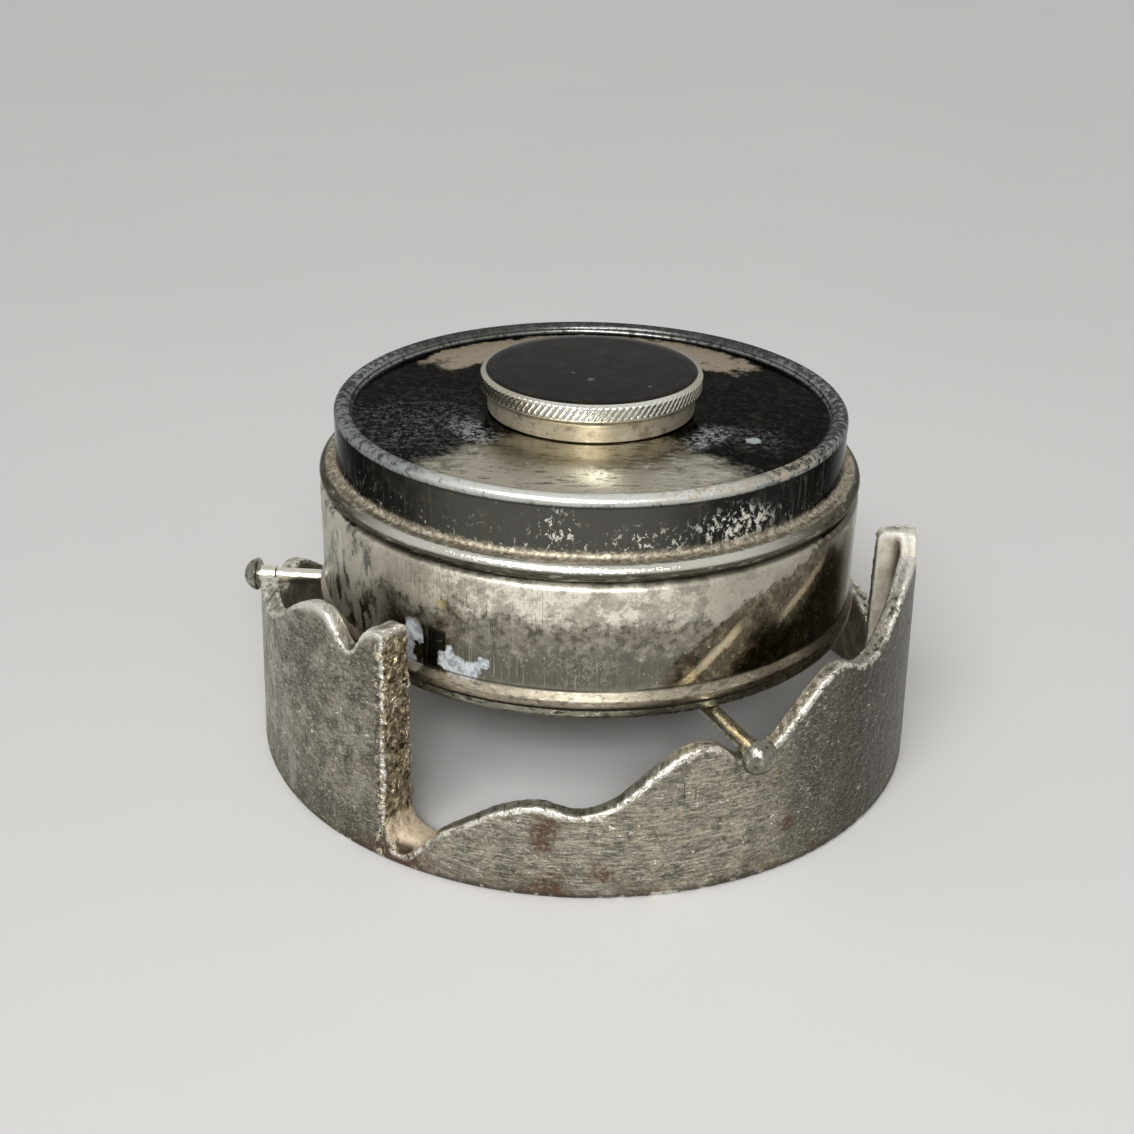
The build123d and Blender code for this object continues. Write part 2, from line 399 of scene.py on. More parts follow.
# Proud places wear bright, and hollow ones are made darker.
bulge = ((spots - eased(cast, spots, 18)) * normal).sum(1) / MM
keep(cast, "worn", np.clip(bulge / 0.10, 0, 1))
keep(cast, "hollow", np.clip(-bulge / 0.10, 0, 1))
keep(cast, "drop_face", drop_face)
keep(cast, "coarse", coarse)
keep(cast, "inside", np.clip(-outward * 2, 0, 1))
keep(cast, "web_face", web_face)
keep(cast, "upward", upward)
# The relief of the sand: slow waves, a fine grain, and coarse crystals on the drops.
above_foot = np.clip((spots[:, 2] / MM - 0.3) / 0.8, 0, 1)
relief = 0.05 * rippled(spots, 7.0, 1.0)
relief += (0.02 + 0.24 * coarse) * rippled(spots, 0.95, 3.0, 2)
relief += 0.05 * rippled(spots, 0.75, 5.0)
relief += 0.07 * upward * rippled(spots, 1.6, 8.0)
relief = np.clip(relief - 0.02 - 0.06 * coarse, -0.4, 0.15) * above_foot
spots = spots + normal * relief[:, None] * MM
spots[:, 2] = np.maximum(spots[:, 2], 0)
moved(cast, spots)
cast_ring = show("cast_ring", cast, "stand", "cast_plated", "stand_ring")

iron = Finish("plated_casting", (0.17, 0.161, 0.126), 0.3, 0.94)
webbed = iron.either(iron.marked("web_face"), iron.marked("inside"))
plain_side = iron.without(iron.either(iron.marked("drop_face"), webbed))
broken = iron.cloud(3.0, 4.0, 0.65, shift=4)
patches = iron.cloud(2.4, 4.0, 0.65, shift=31)
iron.coat(iron.patchy(0.42, 0.62, 7, 3.0, 0.6), (0.26, 0.237, 0.18), 0.28)
iron.coat(iron.patchy(0.46, 0.66, 9, 3.0, 0.6, shift=9), (0.115, 0.116, 0.094), 0.36)
# Painted light: the front wall is lighter than the sides, with paler and darker patches in it.
front = iron.both(iron.within(iron.azimuth, -26, 31, 7), plain_side)
iron.coat((front, 0.8), (0.35, 0.325, 0.26), 0.28)
iron.coat((front, iron.rise(patches, 0.5, 0.6)), (0.44, 0.395, 0.30), 0.26)
iron.coat((front, iron.rise(broken, 0.48, 0.38), 0.85), (0.16, 0.16, 0.132), 0.3)
left_side = iron.both(iron.within(iron.azimuth, -78, -34, 8), plain_side)
iron.coat((left_side, iron.rise(broken, 0.44, 0.6), 0.85), (0.40, 0.38, 0.305), 0.26)
iron.coat((left_side, iron.rise(patches, 0.52, 0.36), 0.7), (0.075, 0.072, 0.057), 0.34)
iron.coat(
    (left_side, iron.rise(iron.scaled(broken, 5.0, iron.z), 9.5, 6.0), 0.75), (0.10, 0.095, 0.072),
    0.38,
)
# Painted shade: the right side is darkened, as if turned away from the light.
shaded_right_side = iron.both(iron.within(iron.azimuth, 40, 116, 11), plain_side)
iron.coat((shaded_right_side, 0.95), (0.042, 0.037, 0.026), 0.36)
# The sand grain: short raised strokes along the wall, over a coarser grit.
calm = iron.without(iron.both(shaded_right_side, 0.5))
strokes = iron.cloud(0.2, 2.0, 0.6, stretch=(2.4, 1, 1), turn=(0, 6, 0), warp=1.3, wound=True)
grit = iron.cloud(0.6, 3.0, 0.7, stretch=(1.5, 1, 1), shift=5, warp=0.6, wound=True)
brushed = iron.cloud(0.3, 3.0, 0.65, stretch=(9, 1, 1), turn=(0, 4, 0), shift=2, wound=True)
iron.coat((iron.rise(grit, 0.47, 0.36), calm, 0.55), (0.055, 0.048, 0.034), 0.42)
iron.coat((iron.rise(strokes, 0.47, 0.37), calm, 0.45), (0.06, 0.052, 0.038), 0.42)
iron.coat((iron.rise(strokes, 0.54, 0.64), calm, 0.6), (0.66, 0.62, 0.51), 0.2)
iron.coat((front, iron.rise(brushed, 0.54, 0.64), 0.6), (0.62, 0.575, 0.46), 0.2)
iron.coat((front, iron.rise(brushed, 0.46, 0.36), 0.6), (0.10, 0.088, 0.064), 0.36)
# Painted glints: bright flecks on the grain stand in for highlights.
painted_glints = iron.both(
    iron.rise(grit, 0.62, 0.67),
    iron.either(iron.rise(patches, 0.5, 0.6), iron.rise(broken, 0.5, 0.6)),
)
iron.coat((painted_glints, calm), (0.86, 0.83, 0.74), 0.14)
for azimuth, height, tall in ((14.9, 13.3, 1.5), (16.7, 12.8, 0.9)):
    scratch = iron.spot(azimuth, wall_radius, height, 0.09, tall, 0.2, 0.9)
    iron.coat((scratch, 0.75), (0.03, 0.026, 0.02), 0.5)
# Brown dirt along the foot, its lowest edge darker still, and a few brown stains in front.
foot_dirt = iron.both(iron.rise(iron.z, 5, 0.5), iron.patchy(0.42, 0.6, 3.2, 4.0, 0.65, shift=5))
iron.coat((foot_dirt, plain_side, 0.6), (0.10, 0.07, 0.042), 0.6)
iron.coat(
    (iron.rise(iron.scaled(broken, 1.6, iron.z), 2.2, 1.2), 0.85), (0.045, 0.036, 0.024), 0.6, 0.6
)
stained = iron.patchy(0.42, 0.56, 0.5, 3.0, 0.7, shift=21)
for azimuth, height, wide, tall in (
    (-6, 8.9, 1.7, 2.0), (-6.8, 7.2, 1.2, 1.6), (-6, 1.8, 2.2, 1.3), (2.4, 3.4, 1.5, 1.2),
    (33.5, 5.8, 0.8, 1.0), (-31, 1.6, 4.5, 1.6),
):
    stain = iron.spot(azimuth, wall_radius, height, wide, tall, 0.9, 1.1, 0.5)
    iron.coat((stain, iron.scaled(stained, 0.5, 0.42)), (0.095, 0.048, 0.026), 0.55, 0.6)
iron.coat((iron.spot(-57.6, 40.8, 4.4, 1.1, 3.4, 0.6, 1.2), 0.6), (0.36, 0.355, 0.31), 0.35)
# The drop faces are coarse brown crystals, with painted highlights on their tips and painted shade
# in their lows.
drops = iron.marked("drop_face")
iron.coat(drops, (0.35, 0.285, 0.18), 0.3)
crystals = iron.cloud(0.8, 3.0, 0.7, shift=6, warp=0.7)
iron.coat((iron.marked("coarse"), iron.rise(crystals, 0.53, 0.60)), (0.92, 0.82, 0.60), 0.16)
iron.coat((iron.marked("coarse"), iron.rise(crystals, 0.48, 0.38)), (0.05, 0.033, 0.015), 0.55)
# The webs and the inside kept a dull beige skin.
iron.coat((iron.marked("inside"), 0.85), (0.26, 0.22, 0.155), 0.5, 0.7)
iron.coat(iron.marked("web_face"), (0.82, 0.75, 0.60), 0.55, 0.0)
iron.coat((webbed, iron.patchy(0.45, 0.62, 2.5, 3.0, shift=13), 0.6), (0.50, 0.46, 0.37), 0.5)
iron.coat((iron.marked("inside"), iron.rise(grit, 0.5, 0.38), 0.6), (0.14, 0.115, 0.075), 0.6)
# The top edges are rubbed bright, with marks across them, and the fillets and other hollows are
# darker.
marks = iron.cloud(0.62, 2.0, 0.5, stretch=(1, 6, 6), turn=(0, 0, 25), wound=True)
topped = iron.both(iron.marked("upward"), iron.rise(iron.z, 1.5, 3.5))
iron.coat((topped, iron.patchy(0.36, 0.54, 0.7, 3.0, shift=7), 0.9), (0.50, 0.475, 0.40), 0.28)
iron.coat((topped, iron.rise(marks, 0.5, 0.36), 0.75), (0.12, 0.107, 0.08), 0.4)
worn = iron.both(iron.rise(iron.marked("worn"), 0.4, 1.0), iron.patchy(0.4, 0.56, 0.8, 3.0, 0.7))
iron.coat((worn, iron.rise(iron.z, 0.8, 1.8)), (0.84, 0.81, 0.72), 0.16)
iron.coat((iron.marked("worn"), iron.rise(iron.z, 25.5, 27.0), 0.9), (0.90, 0.88, 0.80), 0.2)
iron.coat(
    (worn, iron.rise(iron.z, 1.4, 0.8), iron.rise(patches, 0.54, 0.6)), (0.66, 0.62, 0.53), 0.2
)
iron.coat((iron.marked("hollow"), 0.85), (0.07, 0.05, 0.03), 0.6)
for ledge in drop_azimuths:
    shelf = iron.both(
        iron.spot(ledge + 6.5, inner_radius, 3.6, 6.5, 2.0, 0.35, 2.0), iron.rise(iron.z, 1.8, 2.8),
        iron.without(iron.both(plain_side, iron.rise(iron.reach, 40.2, 40.6))),
    )
    iron.coat((shelf, 0.9), (0.70, 0.58, 0.42), 0.55, 0.1)
    iron.coat((shelf, iron.rise(grit, 0.48, 0.38), 0.6), (0.27, 0.19, 0.11), 0.6)
iron.raised(grit, 0.13)
iron.raised(strokes, 0.07)
iron.raised(iron.both(marks, topped), 0.14)
iron.raised(iron.both(crystals, iron.marked("coarse")), 0.6)
iron.cover(cast_ring)


# The burner's pan: the closed bottom of the drum, a shallow pressed disc whose short lip
# stands up round the foot of the cup wall. Years on the flame have greyed it. Like each
# sheet piece below, it is a spun section with slight waves, as no real sheet is quite true.
sheet_wall = 0.45
tight = sheet_wall + 0.05
around = 288


def level(node, end):
    """A CAD piece's lowest or highest level, in mm above the table."""
    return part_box(node)[end].z / MM


def bent(corners, bends, step=0.25):
    """A section's line through corners of (radius, height), with its bends rounded."""
    corners = [Vector(c) for c in corners]
    line = [corners[0]]
    for before, corner, after, bend in zip(corners, corners[1:], corners[2:], bends):
        back, on = (before - corner).normalized(), (after - corner).normalized()
        half_angle = back.angle(on) / 2
        if bend == 0:
            line.append(corner)
            continue
        middle = corner + (back + on).normalized() * bend / sin(half_angle)
        start = corner + back * bend / tan(half_angle) - middle
        end = corner + on * bend / tan(half_angle) - middle
        sweep = start.angle_signed(end)
        steps = max(4, int(abs(sweep) * bend / step) + 1)
        for i in range(steps + 1):
            spoke = start.copy()
            spoke.rotate(Matrix.Rotation(-sweep * i / steps, 2))
            line.append(middle + spoke)
    return line + [corners[-1]]


def divided(line, step):
    """The line with points added on its long runs."""
    out = [line[0]]
    for a, b in zip(line, line[1:]):
        count = max(1, int((b - a).length / step + 0.5))
        out += [a.lerp(b, i / count) for i in range(1, count + 1)]
    return out


def folded(outside, step=1.0):
    """The closed section of sheet whose metal lies on the left of its outside line."""
    line = [p for i, p in enumerate(outside) if i == 0 or (p - outside[i - 1]).length > 1e-4]
    line = divided(line, step)
    inside = []
    for i, point in enumerate(line):
        off = (point - line[i - 1]).normalized() if i else (line[1] - point).normalized()
        on = (line[i + 1] - point).normalized() if i + 1 < len(line) else off
        run = (on + off).normalized()
        left = Vector((-run.y, run.x))
        inside.append(point + left * sheet_wall / max(left.dot(Vector((-off.y, off.x))), 0.5))
    return line + inside[::-1]


def spun(outline, segments):
    """Points in metres and faces of a closed section turned about the upright axis."""
    turns = np.arange(segments) * 2 * pi / segments
    points, rings = [], []
    for r, z in outline:
        if r < 1e-6:
            rings.append([len(points)] * segments)
            points.append((0.0, 0.0, z))
        else:
            rings.append(list(range(len(points), len(points) + segments)))
            points += [(r * sin(a), -r * cos(a), z) for a in turns]
    faces = []
    for low, high in zip(rings, rings[1:] + rings[:1]):
        for i in range(segments):
            j = (i + 1) % segments
            face = list(dict.fromkeys((low[i], low[j], high[j], high[i])))
            if len(face) > 2:
                faces.append(face)
    return np.array(points) * MM, faces


def waved(points, depth, size, seed):
    """Points drawn in along their radius here and there, as spun sheet is never quite round."""
    dip = np.minimum(rippled(points * (1, 1, 0.4), size, seed), 0) * depth * MM
    out = points.copy()
    out[:, :2] *= 1 + (dip / np.maximum(np.hypot(points[:, 0], points[:, 1]), MM))[:, None]
    return out


def pressed(name, points, faces, sharp=35):
    """A mesh with its faces turned outward and its cut edges kept sharp."""
    mesh = bpy.data.meshes.new(name)
    mesh.from_pydata(points.tolist(), [], faces)
    work = bmesh.new()
    work.from_mesh(mesh)
    bmesh.ops.recalc_face_normals(work, faces=work.faces)
    work.to_mesh(mesh)
    work.free()
    mesh.polygons.foreach_set("use_smooth", [True] * len(mesh.polygons))
    mesh.set_sharp_from_angle(angle=radians(sharp))
    return mesh


def formed(name, points, faces, *place, sharp=35):
    """A piece straight from its points; place is its body, its slot (not used) and its node."""
    return show(name, pressed(name, points, faces, sharp), *place)


pan_level = level("base_pan", 0)
pan_radius = 33.0
lip_top = level("base_pan", 1)
pan_line = bent([(0, pan_level), (pan_radius, pan_level), (pan_radius, lip_top)], [tight])
points, faces = spun(folded(pan_line, 1.5), around)
burner_pan = formed(
    "burner_pan", waved(points, 0.05, 6, 4.0), faces, "burner", "plated_sheet", "base_pan"
)
grey = Finish("greyed_nickel", (0.26, 0.25, 0.20), 0.32, 0.95)
grey.coat(grey.patchy(0.42, 0.65, 4, 4.0, 0.6), (0.42, 0.395, 0.31), 0.36)
grey.coat(
    grey.patchy(0.5, 0.38, 0.6, 4.0, 0.7, stretch=(2.4, 1, 1), wound=True), (0.07, 0.066, 0.05), 0.5
)
grey.coat(
    grey.patchy(0.58, 0.68, 0.45, 3.0, 0.7, stretch=(2, 1, 1), shift=4, wound=True),
    (0.66, 0.62, 0.5), 0.3,
)
soot = grey.both(grey.rise(grey.reach, 31, 22), grey.patchy(0.4, 0.6, 9, 3.0, shift=3))
grey.coat((soot, 0.8), (0.07, 0.058, 0.045), 0.6)
grey.raised(grey.cloud(0.7, 3.0), 0.03)
grey.cover(burner_pan)

# The cup wall: one drawn sheet with a rolled bead at its foot and a shoulder turned in at its top,
# nickel-plated; heat and spirit have left a pale fog on it above and browned it on the right, and
# painted highlights and reflections lie on it in front.
lap_gap = 0.05
cup_radius = 32.6
bead_outer = 33.15
bead_level = lip_top + lap_gap
bead_top = bead_level + 2.1
cup_top = level("cup_shell", 1)
skirt_radius = pan_radius - sheet_wall - lap_gap
cup_corners = [
    (skirt_radius, pan_level + sheet_wall + lap_gap),
    (skirt_radius, bead_level),
    (bead_outer, bead_level),
    (bead_outer, bead_level + 1.05),
    (cup_radius, bead_top),
    (cup_radius, cup_top),
    (29.95, cup_top),
]
points, faces = spun(folded(bent(cup_corners, [0, tight, tight, tight, 0.8])), around)
cup_wall = formed(
    "cup_wall", waved(points, 0.07, 9, 2.0), faces, "burner", "plated_sheet", "cup_shell"
)

nickel = Finish("fogged_nickel", (0.175, 0.168, 0.138), 0.2, 1.0)
fog = nickel.cloud(4.5, 5.0, 0.68, shift=2)
mottle = nickel.cloud(1.1, 5.0, 0.72, shift=18)
lines = nickel.cloud(0.3, 3.0, 0.6, stretch=(1, 1, 16), shift=1, wound=True)
nickel.coat((nickel.rise(lines, 0.54, 0.74), 0.55), (0.36, 0.34, 0.28), 0.28)
nickel.coat((nickel.rise(lines, 0.47, 0.3), 0.55), (0.075, 0.07, 0.055), 0.18)
nickel.coat((nickel.rise(mottle, 0.56, 0.7), 0.5), (0.34, 0.32, 0.255), 0.34)
# The upper part has a pale fog, down to a ragged edge; in front a painted highlight brightens it,
# fading towards the sides.
high = nickel.scaled(fog, 9.0, nickel.sum("SUBTRACT", nickel.z, 4.5))
high = nickel.scaled(mottle, 4.0, nickel.sum("SUBTRACT", high, 2.0))
upper = nickel.rise(high, 28.8, 30.6)
fog_and_highlight = nickel.both(upper, nickel.within(nickel.azimuth, -50, 44, 10))
middle = nickel.both(nickel.rise(high, 24.6, 26.6), nickel.within(nickel.azimuth, -50, 60, 10))
nickel.coat((middle, 0.85), (0.29, 0.27, 0.213), 0.36, 0.85)
nickel.coat((middle, nickel.rise(mottle, 0.52, 0.64), 0.6), (0.47, 0.44, 0.35), 0.4, 0.8)
nickel.coat((middle, nickel.rise(mottle, 0.5, 0.4), 0.85), (0.12, 0.11, 0.084), 0.3, 1.0)
nickel.coat((fog_and_highlight, 0.95), (0.84, 0.80, 0.67), 0.38, 0.55)
nickel.coat((fog_and_highlight, nickel.rise(mottle, 0.5, 0.38), 0.7), (0.36, 0.33, 0.26), 0.4)
nickel.coat((fog_and_highlight, nickel.patchy(0.47, 0.36, 0.28, 4.0, 0.75), 0.5), (0.18, 0.162, 0.125), 0.3)
# Painted shade: the fog is darker towards the sides, away from the painted highlight.
beside_highlight = nickel.either(nickel.rise(nickel.azimuth, 10, 30), nickel.rise(nickel.azimuth, -22, -38))
nickel.coat((fog_and_highlight, beside_highlight, 0.75), (0.34, 0.315, 0.25), 0.36, 0.8)
nickel.coat(
    (fog_and_highlight, nickel.rise(fog, 0.53, 0.45), nickel.rise(mottle, 0.4, 0.52), 0.7),
    (0.27, 0.25, 0.198), 0.36, 0.9,
)
scratched = nickel.cloud(0.16, 2.0, 0.6, stretch=(1, 1, 40), shift=15, wound=True)
nickel.coat(
    (nickel.rise(scratched, 0.62, 0.68), nickel.within(nickel.azimuth, -46, -8, 6), 0.7),
    (0.08, 0.073, 0.056), 0.25,
)
nickel.coat(
    (nickel.rise(scratched, 0.36, 0.30), nickel.within(nickel.azimuth, -46, 10, 6), 0.6),
    (0.62, 0.585, 0.48), 0.25,
)
nickel.coat(
    (upper, nickel.without(fog_and_highlight), nickel.rise(fog, 0.4, 0.55), 0.8), (0.33, 0.31, 0.25), 0.36
)
# Below it the sheet is darker, with a paler band above the bead in front, a painted reflection of
# the ring.
nickel.coat(
    (
        nickel.within(nickel.azimuth, -40, 16, 7),
        nickel.rise(nickel.scaled(mottle, 2.0, nickel.z), 23.0, 22.2), 0.6,
    ),
    (0.36, 0.33, 0.26), 0.3,
)
# The left quarter is mottled light and dark.
left = nickel.within(nickel.azimuth, -88, -44, 5)
nickel.coat(
    (left, nickel.patchy(0.42, 0.52, 2.2, 4.0, 0.7, stretch=(1, 1, 1.8), shift=6), 0.9),
    (0.56, 0.53, 0.44), 0.38, 0.8,
)
nickel.coat(
    (left, nickel.patchy(0.5, 0.36, 2.0, 4.0, 0.7, stretch=(1, 1, 1.6), shift=8), 0.85),
    (0.08, 0.073, 0.057), 0.22,
)
nickel.coat(
    (nickel.spot(-61, cup_radius, 27.5, 0.7, 4.5, 0.4, 1.6, 0.3), 0.8), (0.62, 0.60, 0.52), 0.3
)
# The right side is brown and mirror-bright below a slanting edge, and crossed by two streaks,
# painted reflections of the ring's ramp and pin.
unevenly = nickel.scaled(mottle, 3.0, -1.5)
slanting = nickel.sum(
    "MINIMUM", nickel.scaled(nickel.azimuth, 0.42, 17.2), nickel.scaled(nickel.azimuth, 0.155, 25.2)
)
under_edge = nickel.sum("ADD", nickel.sum("SUBTRACT", nickel.z, slanting), unevenly)
brown = nickel.both(nickel.rise(under_edge, 0.5, -0.4), nickel.within(nickel.azimuth, 15.5, 84, 2))
nickel.coat(brown, (0.12, 0.10, 0.068), 0.17, 1.0)
nickel.coat((brown, nickel.rise(mottle, 0.5, 0.62), 0.75), (0.30, 0.26, 0.185), 0.28)
nickel.coat((brown, nickel.rise(mottle, 0.46, 0.36), 0.8), (0.05, 0.042, 0.028), 0.16)
nickel.coat((brown, nickel.rise(nickel.azimuth, 46, 66), 0.75), (0.06, 0.048, 0.031), 0.16)
# Two painted reflections of the ring's ramp and pin, as pale slanting streaks.
for start, lowest, highest, level_there, slope, strong in (
    (18.4, 17.5, 30, 21.5, 0.48, 0.85), (41.1, 41, 54, 26.9, 0.34, 0.7)
):
    off_line = nickel.sum("SUBTRACT", nickel.azimuth, start)
    off_line = nickel.sum("SUBTRACT", nickel.z, nickel.scaled(off_line, slope, level_there))
    off_line = nickel.sum("ADD", off_line, nickel.scaled(mottle, 1.6, -0.8))
    band = nickel.both(
        nickel.rise(nickel.sum("ABSOLUTE", off_line), 1.0, 0.2),
        nickel.within(nickel.azimuth, lowest, highest, 2),
    )
    nickel.coat((band, strong), (0.74, 0.63, 0.42), 0.26)
# Flaked places low on the left show a dark polished patch between two white ones.
stripes = nickel.both(
    nickel.within(nickel.azimuth, -34.0, -28.4, 0.25), nickel.within(nickel.z, 20.6, 26.1, 0.25)
)
nickel.coat(stripes, (0.05, 0.047, 0.04), 0.12)
nickel.coat(
    (stripes, nickel.patchy(0.55, 0.62, 0.32, 2.0, stretch=(1, 1, 40), shift=8, wound=True)),
    (0.26, 0.245, 0.195), 0.2,
)
white = nickel.either(
    nickel.both(
        nickel.spot(-36.3, cup_radius, 23.3, 1.6, 3.1, 0.35, 1.4, 0.1),
        nickel.without(nickel.spot(-34.9, cup_radius, 22.6, 0.9, 1.3, 0.9, 0.7, 0.1)),
        nickel.rise(nickel.azimuth, -33.6, -34.0),
    ),
    nickel.both(
        nickel.spot(-25.4, cup_radius, 22.6, 2.7, 2.0, 0.35, 1.1, 0.1),
        nickel.without(nickel.spot(-23.8, cup_radius, 24.7, 2.0, 1.5, 0.3, 0.9, 0.1)),
    ),
    nickel.spot(-20.4, cup_radius, 23.4, 0.8, 0.7, 0.5, 0.7, 0.1),
)
nickel.coat(white, (0.36, 0.38, 0.40), 0.5, 0.5)
nickel.coat(
    (white, nickel.patchy(0.42, 0.58, 1.0, 3.0, 0.7, shift=3)), (0.62, 0.665, 0.69), 0.55, 0.3
)
curl = nickel.rise(
    nickel.sum(
        "ABSOLUTE", nickel.sum("SUBTRACT", nickel.cloud(1.8, 3.0, 0.7, shift=12, warp=0.8), 0.5)
    ),
    0.035, 0.01,
)
near_middle = nickel.spot(-1, cup_radius, 24.0, 4.2, 2.4, 0.6, 2.0, 0.5)
nickel.coat((curl, near_middle, 0.6), (0.40, 0.38, 0.32), 0.4)
nickel.coat(
    (nickel.spot(-29.4, cup_radius, 29.5, 0.8, 0.5, 0.3, 1.0, 0.6), 0.6), (0.66, 0.56, 0.30), 0.3
)
nickel.coat(
    (nickel.patchy(0.66, 0.69, 0.45, 3.0, 0.7, shift=23), nickel.rise(fog, 0.45, 0.55)),
    (0.66, 0.64, 0.57), 0.4,
)
# The bead is rubbed pale, and darker along the crease above it.
bead = nickel.rise(nickel.z, bead_top + 0.1, bead_top - 0.4)
nickel.coat((bead, 0.95), (0.36, 0.318, 0.24), 0.4)
nickel.coat(
    (bead, nickel.patchy(0.5, 0.38, 0.5, 4.0, 0.7, stretch=(2.2, 1, 1), wound=True), 0.75),
    (0.13, 0.115, 0.085), 0.4,
)
nickel.coat(
    (bead, nickel.patchy(0.56, 0.66, 0.4, 3.0, 0.7, stretch=(3, 1, 1), shift=5, wound=True), 0.8),
    (0.68, 0.62, 0.5), 0.24,
)
nickel.coat(
    (
        nickel.within(nickel.z, bead_top - 0.05, bead_top + 0.2, 0.12), nickel.rise(fog, 0.35, 0.5),
        0.8,
    ),
    (0.06, 0.05, 0.036), 0.5,
)
nickel.raised(lines, 0.008)
nickel.raised(mottle, 0.03)
nickel.raised(nickel.both(fog_and_highlight, nickel.cloud(0.3, 3.0, 0.7)), 0.03)
nickel.cover(cup_wall)

# The collar that the lid slips over: a plain hoop of the same sheet, held by the turned-in
# shoulder. It is cleaner than the drum, because the lid covers it.
collar_low, collar_high = (corner.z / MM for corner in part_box("collar_ring"))
collar_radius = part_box("collar_ring")[1].x / MM
bore = collar_radius - sheet_wall
collar_corners = [
    (bore, collar_low), (collar_radius, collar_low), (collar_radius, collar_high),
    (bore, collar_high),
]
hoop = divided([Vector(c) for c in collar_corners + collar_corners[:1]], 0.6)[:-1]
points, faces = spun(hoop, around)
collar = formed(
    "collar_hoop", waved(points, 0.03, 8, 9.0), faces, "burner", "plated_sheet", "collar_ring"
)
hoop_skin = Finish("covered_nickel", (0.42, 0.40, 0.34), 0.25, 1.0)
rubbed = hoop_skin.cloud(0.3, 2.0, stretch=(10, 10, 1))
hoop_skin.coat(hoop_skin.rise(rubbed, 0.5, 0.7), (0.58, 0.56, 0.50), 0.2)
hoop_skin.coat(hoop_skin.patchy(0.5, 0.7, 5, 4.0), (0.26, 0.22, 0.15), 0.4)
hoop_skin.raised(rubbed, 0.01)
hoop_skin.cover(collar)

# The three pins: drawn wire with a collar where it lies in the notch and an upset, hand-
# hammered head outside the ring. The nickel has worn off the shanks, down to the brass.
pin_level = (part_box("pin_front")[0].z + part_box("pin_front")[1].z) / 2 / MM
wire, collared, head, head_height = 1.0, 1.2, 2.1, 2.0
head_seat = foot_radius + 1.0
pin_line = [Vector(p) for p in (
    (20.5, 0), (20.5, wire - 0.22), (20.72, wire), (39.7, wire), (39.9, collared),
    (head_seat, collared), (head_seat, head - 0.25), (head_seat + 0.25, head),
)]
dome = (head**2 + (head_height - 0.25) ** 2) / (2 * (head_height - 0.25))
dome_middle = head_seat + head_height - dome
dome_start = np.arcsin(head / dome)
pin_line += [
    Vector((dome_middle + dome * cos(a), dome * sin(a)))
    for a in np.linspace(dome_start, 0, 12)[1:]
]
pin_line[-1].y = 0
brass = Finish("worn_wire", (0.56, 0.51, 0.385), 0.22, 1.0)
brass.coat(brass.patchy(0.42, 0.62, 1.3, 3.0), (0.66, 0.62, 0.49), 0.26)
brass.coat(brass.patchy(0.46, 0.36, 0.6, 3.0, 0.7, shift=4), (0.12, 0.10, 0.065), 0.45)
# Painted shade: the lower half of each wire is darker.
brass.coat((brass.rise(brass.z, pin_level, pin_level - 0.8), 0.6), (0.16, 0.15, 0.12), 0.4)
# Painted highlight: the left pin is painted pale along its length.
left_pin_highlight = brass.rise(brass.x, -30, -32)
brass.coat((left_pin_highlight, 0.8), (0.78, 0.76, 0.68), 0.22)
capped = brass.rise(brass.reach, foot_radius + 0.7, foot_radius + 1.3)
beaten = brass.cloud(0.8, 4.0, 0.7, shift=2)
brass.coat((capped, 0.95), (0.22, 0.215, 0.178), 0.15)
brass.coat((capped, brass.rise(beaten, 0.52, 0.66)), (0.48, 0.47, 0.39), 0.16)
brass.coat((capped, brass.rise(beaten, 0.46, 0.34)), (0.06, 0.054, 0.04), 0.4)
# Painted shade: the lower part of each head is darker.
brass.coat(
    (capped, brass.rise(brass.z, pin_level - 0.4, pin_level - 1.9), 0.85), (0.04, 0.033, 0.02), 0.5
)
brass.raised(beaten, 0.10)
wire_finish = brass.done()
for name, azimuth in (("front", 25.5), ("back", 145.5), ("left", 265.5)):
    points, faces = spun([Vector((p.y, p.x)) for p in divided(pin_line, 0.4)], 40)
    hammered = rippled(points + azimuth, 1.3, 2.0) * 0.05 * MM
    points[:, :2] *= 1 + (
        np.minimum(hammered, 0) / np.maximum(np.hypot(points[:, 0], points[:, 1]), 0.5 * MM)
    )[:, None]
    across, up, out = points.T
    angle = radians(azimuth)
    laid = np.stack(
        [
            out * sin(angle) + across * cos(angle),
            across * sin(angle) - out * cos(angle), up + pin_level * MM,
        ],
        1,
    )
    pin = formed("wire_pin_" + name, laid, faces, "burner", "pin_metal", "pin_" + name)
    pin.data.materials.append(wire_finish)

# The solder that holds the pins under the pan: run along both sides of each wire and
# left dull and lumpy.
solder_mesh = skinned("solder_runs", "pin_solder", 0.16, 5)
lumps = measured(solder_mesh)
lumps += facing(solder_mesh) * np.minimum(rippled(lumps, 1.2, 4.0), 0)[:, None] * 0.15 * MM
moved(solder_mesh, lumps)
solder_runs = show("solder_runs", solder_mesh, "burner", "solder", "pin_solder")
lead = Finish("dull_solder", (0.24, 0.24, 0.23), 0.5, 0.9)
lead.coat(lead.patchy(0.45, 0.65, 1.0, 3.0), (0.42, 0.42, 0.40), 0.35)
lead.coat(lead.patchy(0.42, 0.3, 0.5, 3.0, shift=4), (0.08, 0.07, 0.06), 0.6)
lead.raised(lead.cloud(0.5, 3.0), 0.05)
lead.cover(solder_runs)

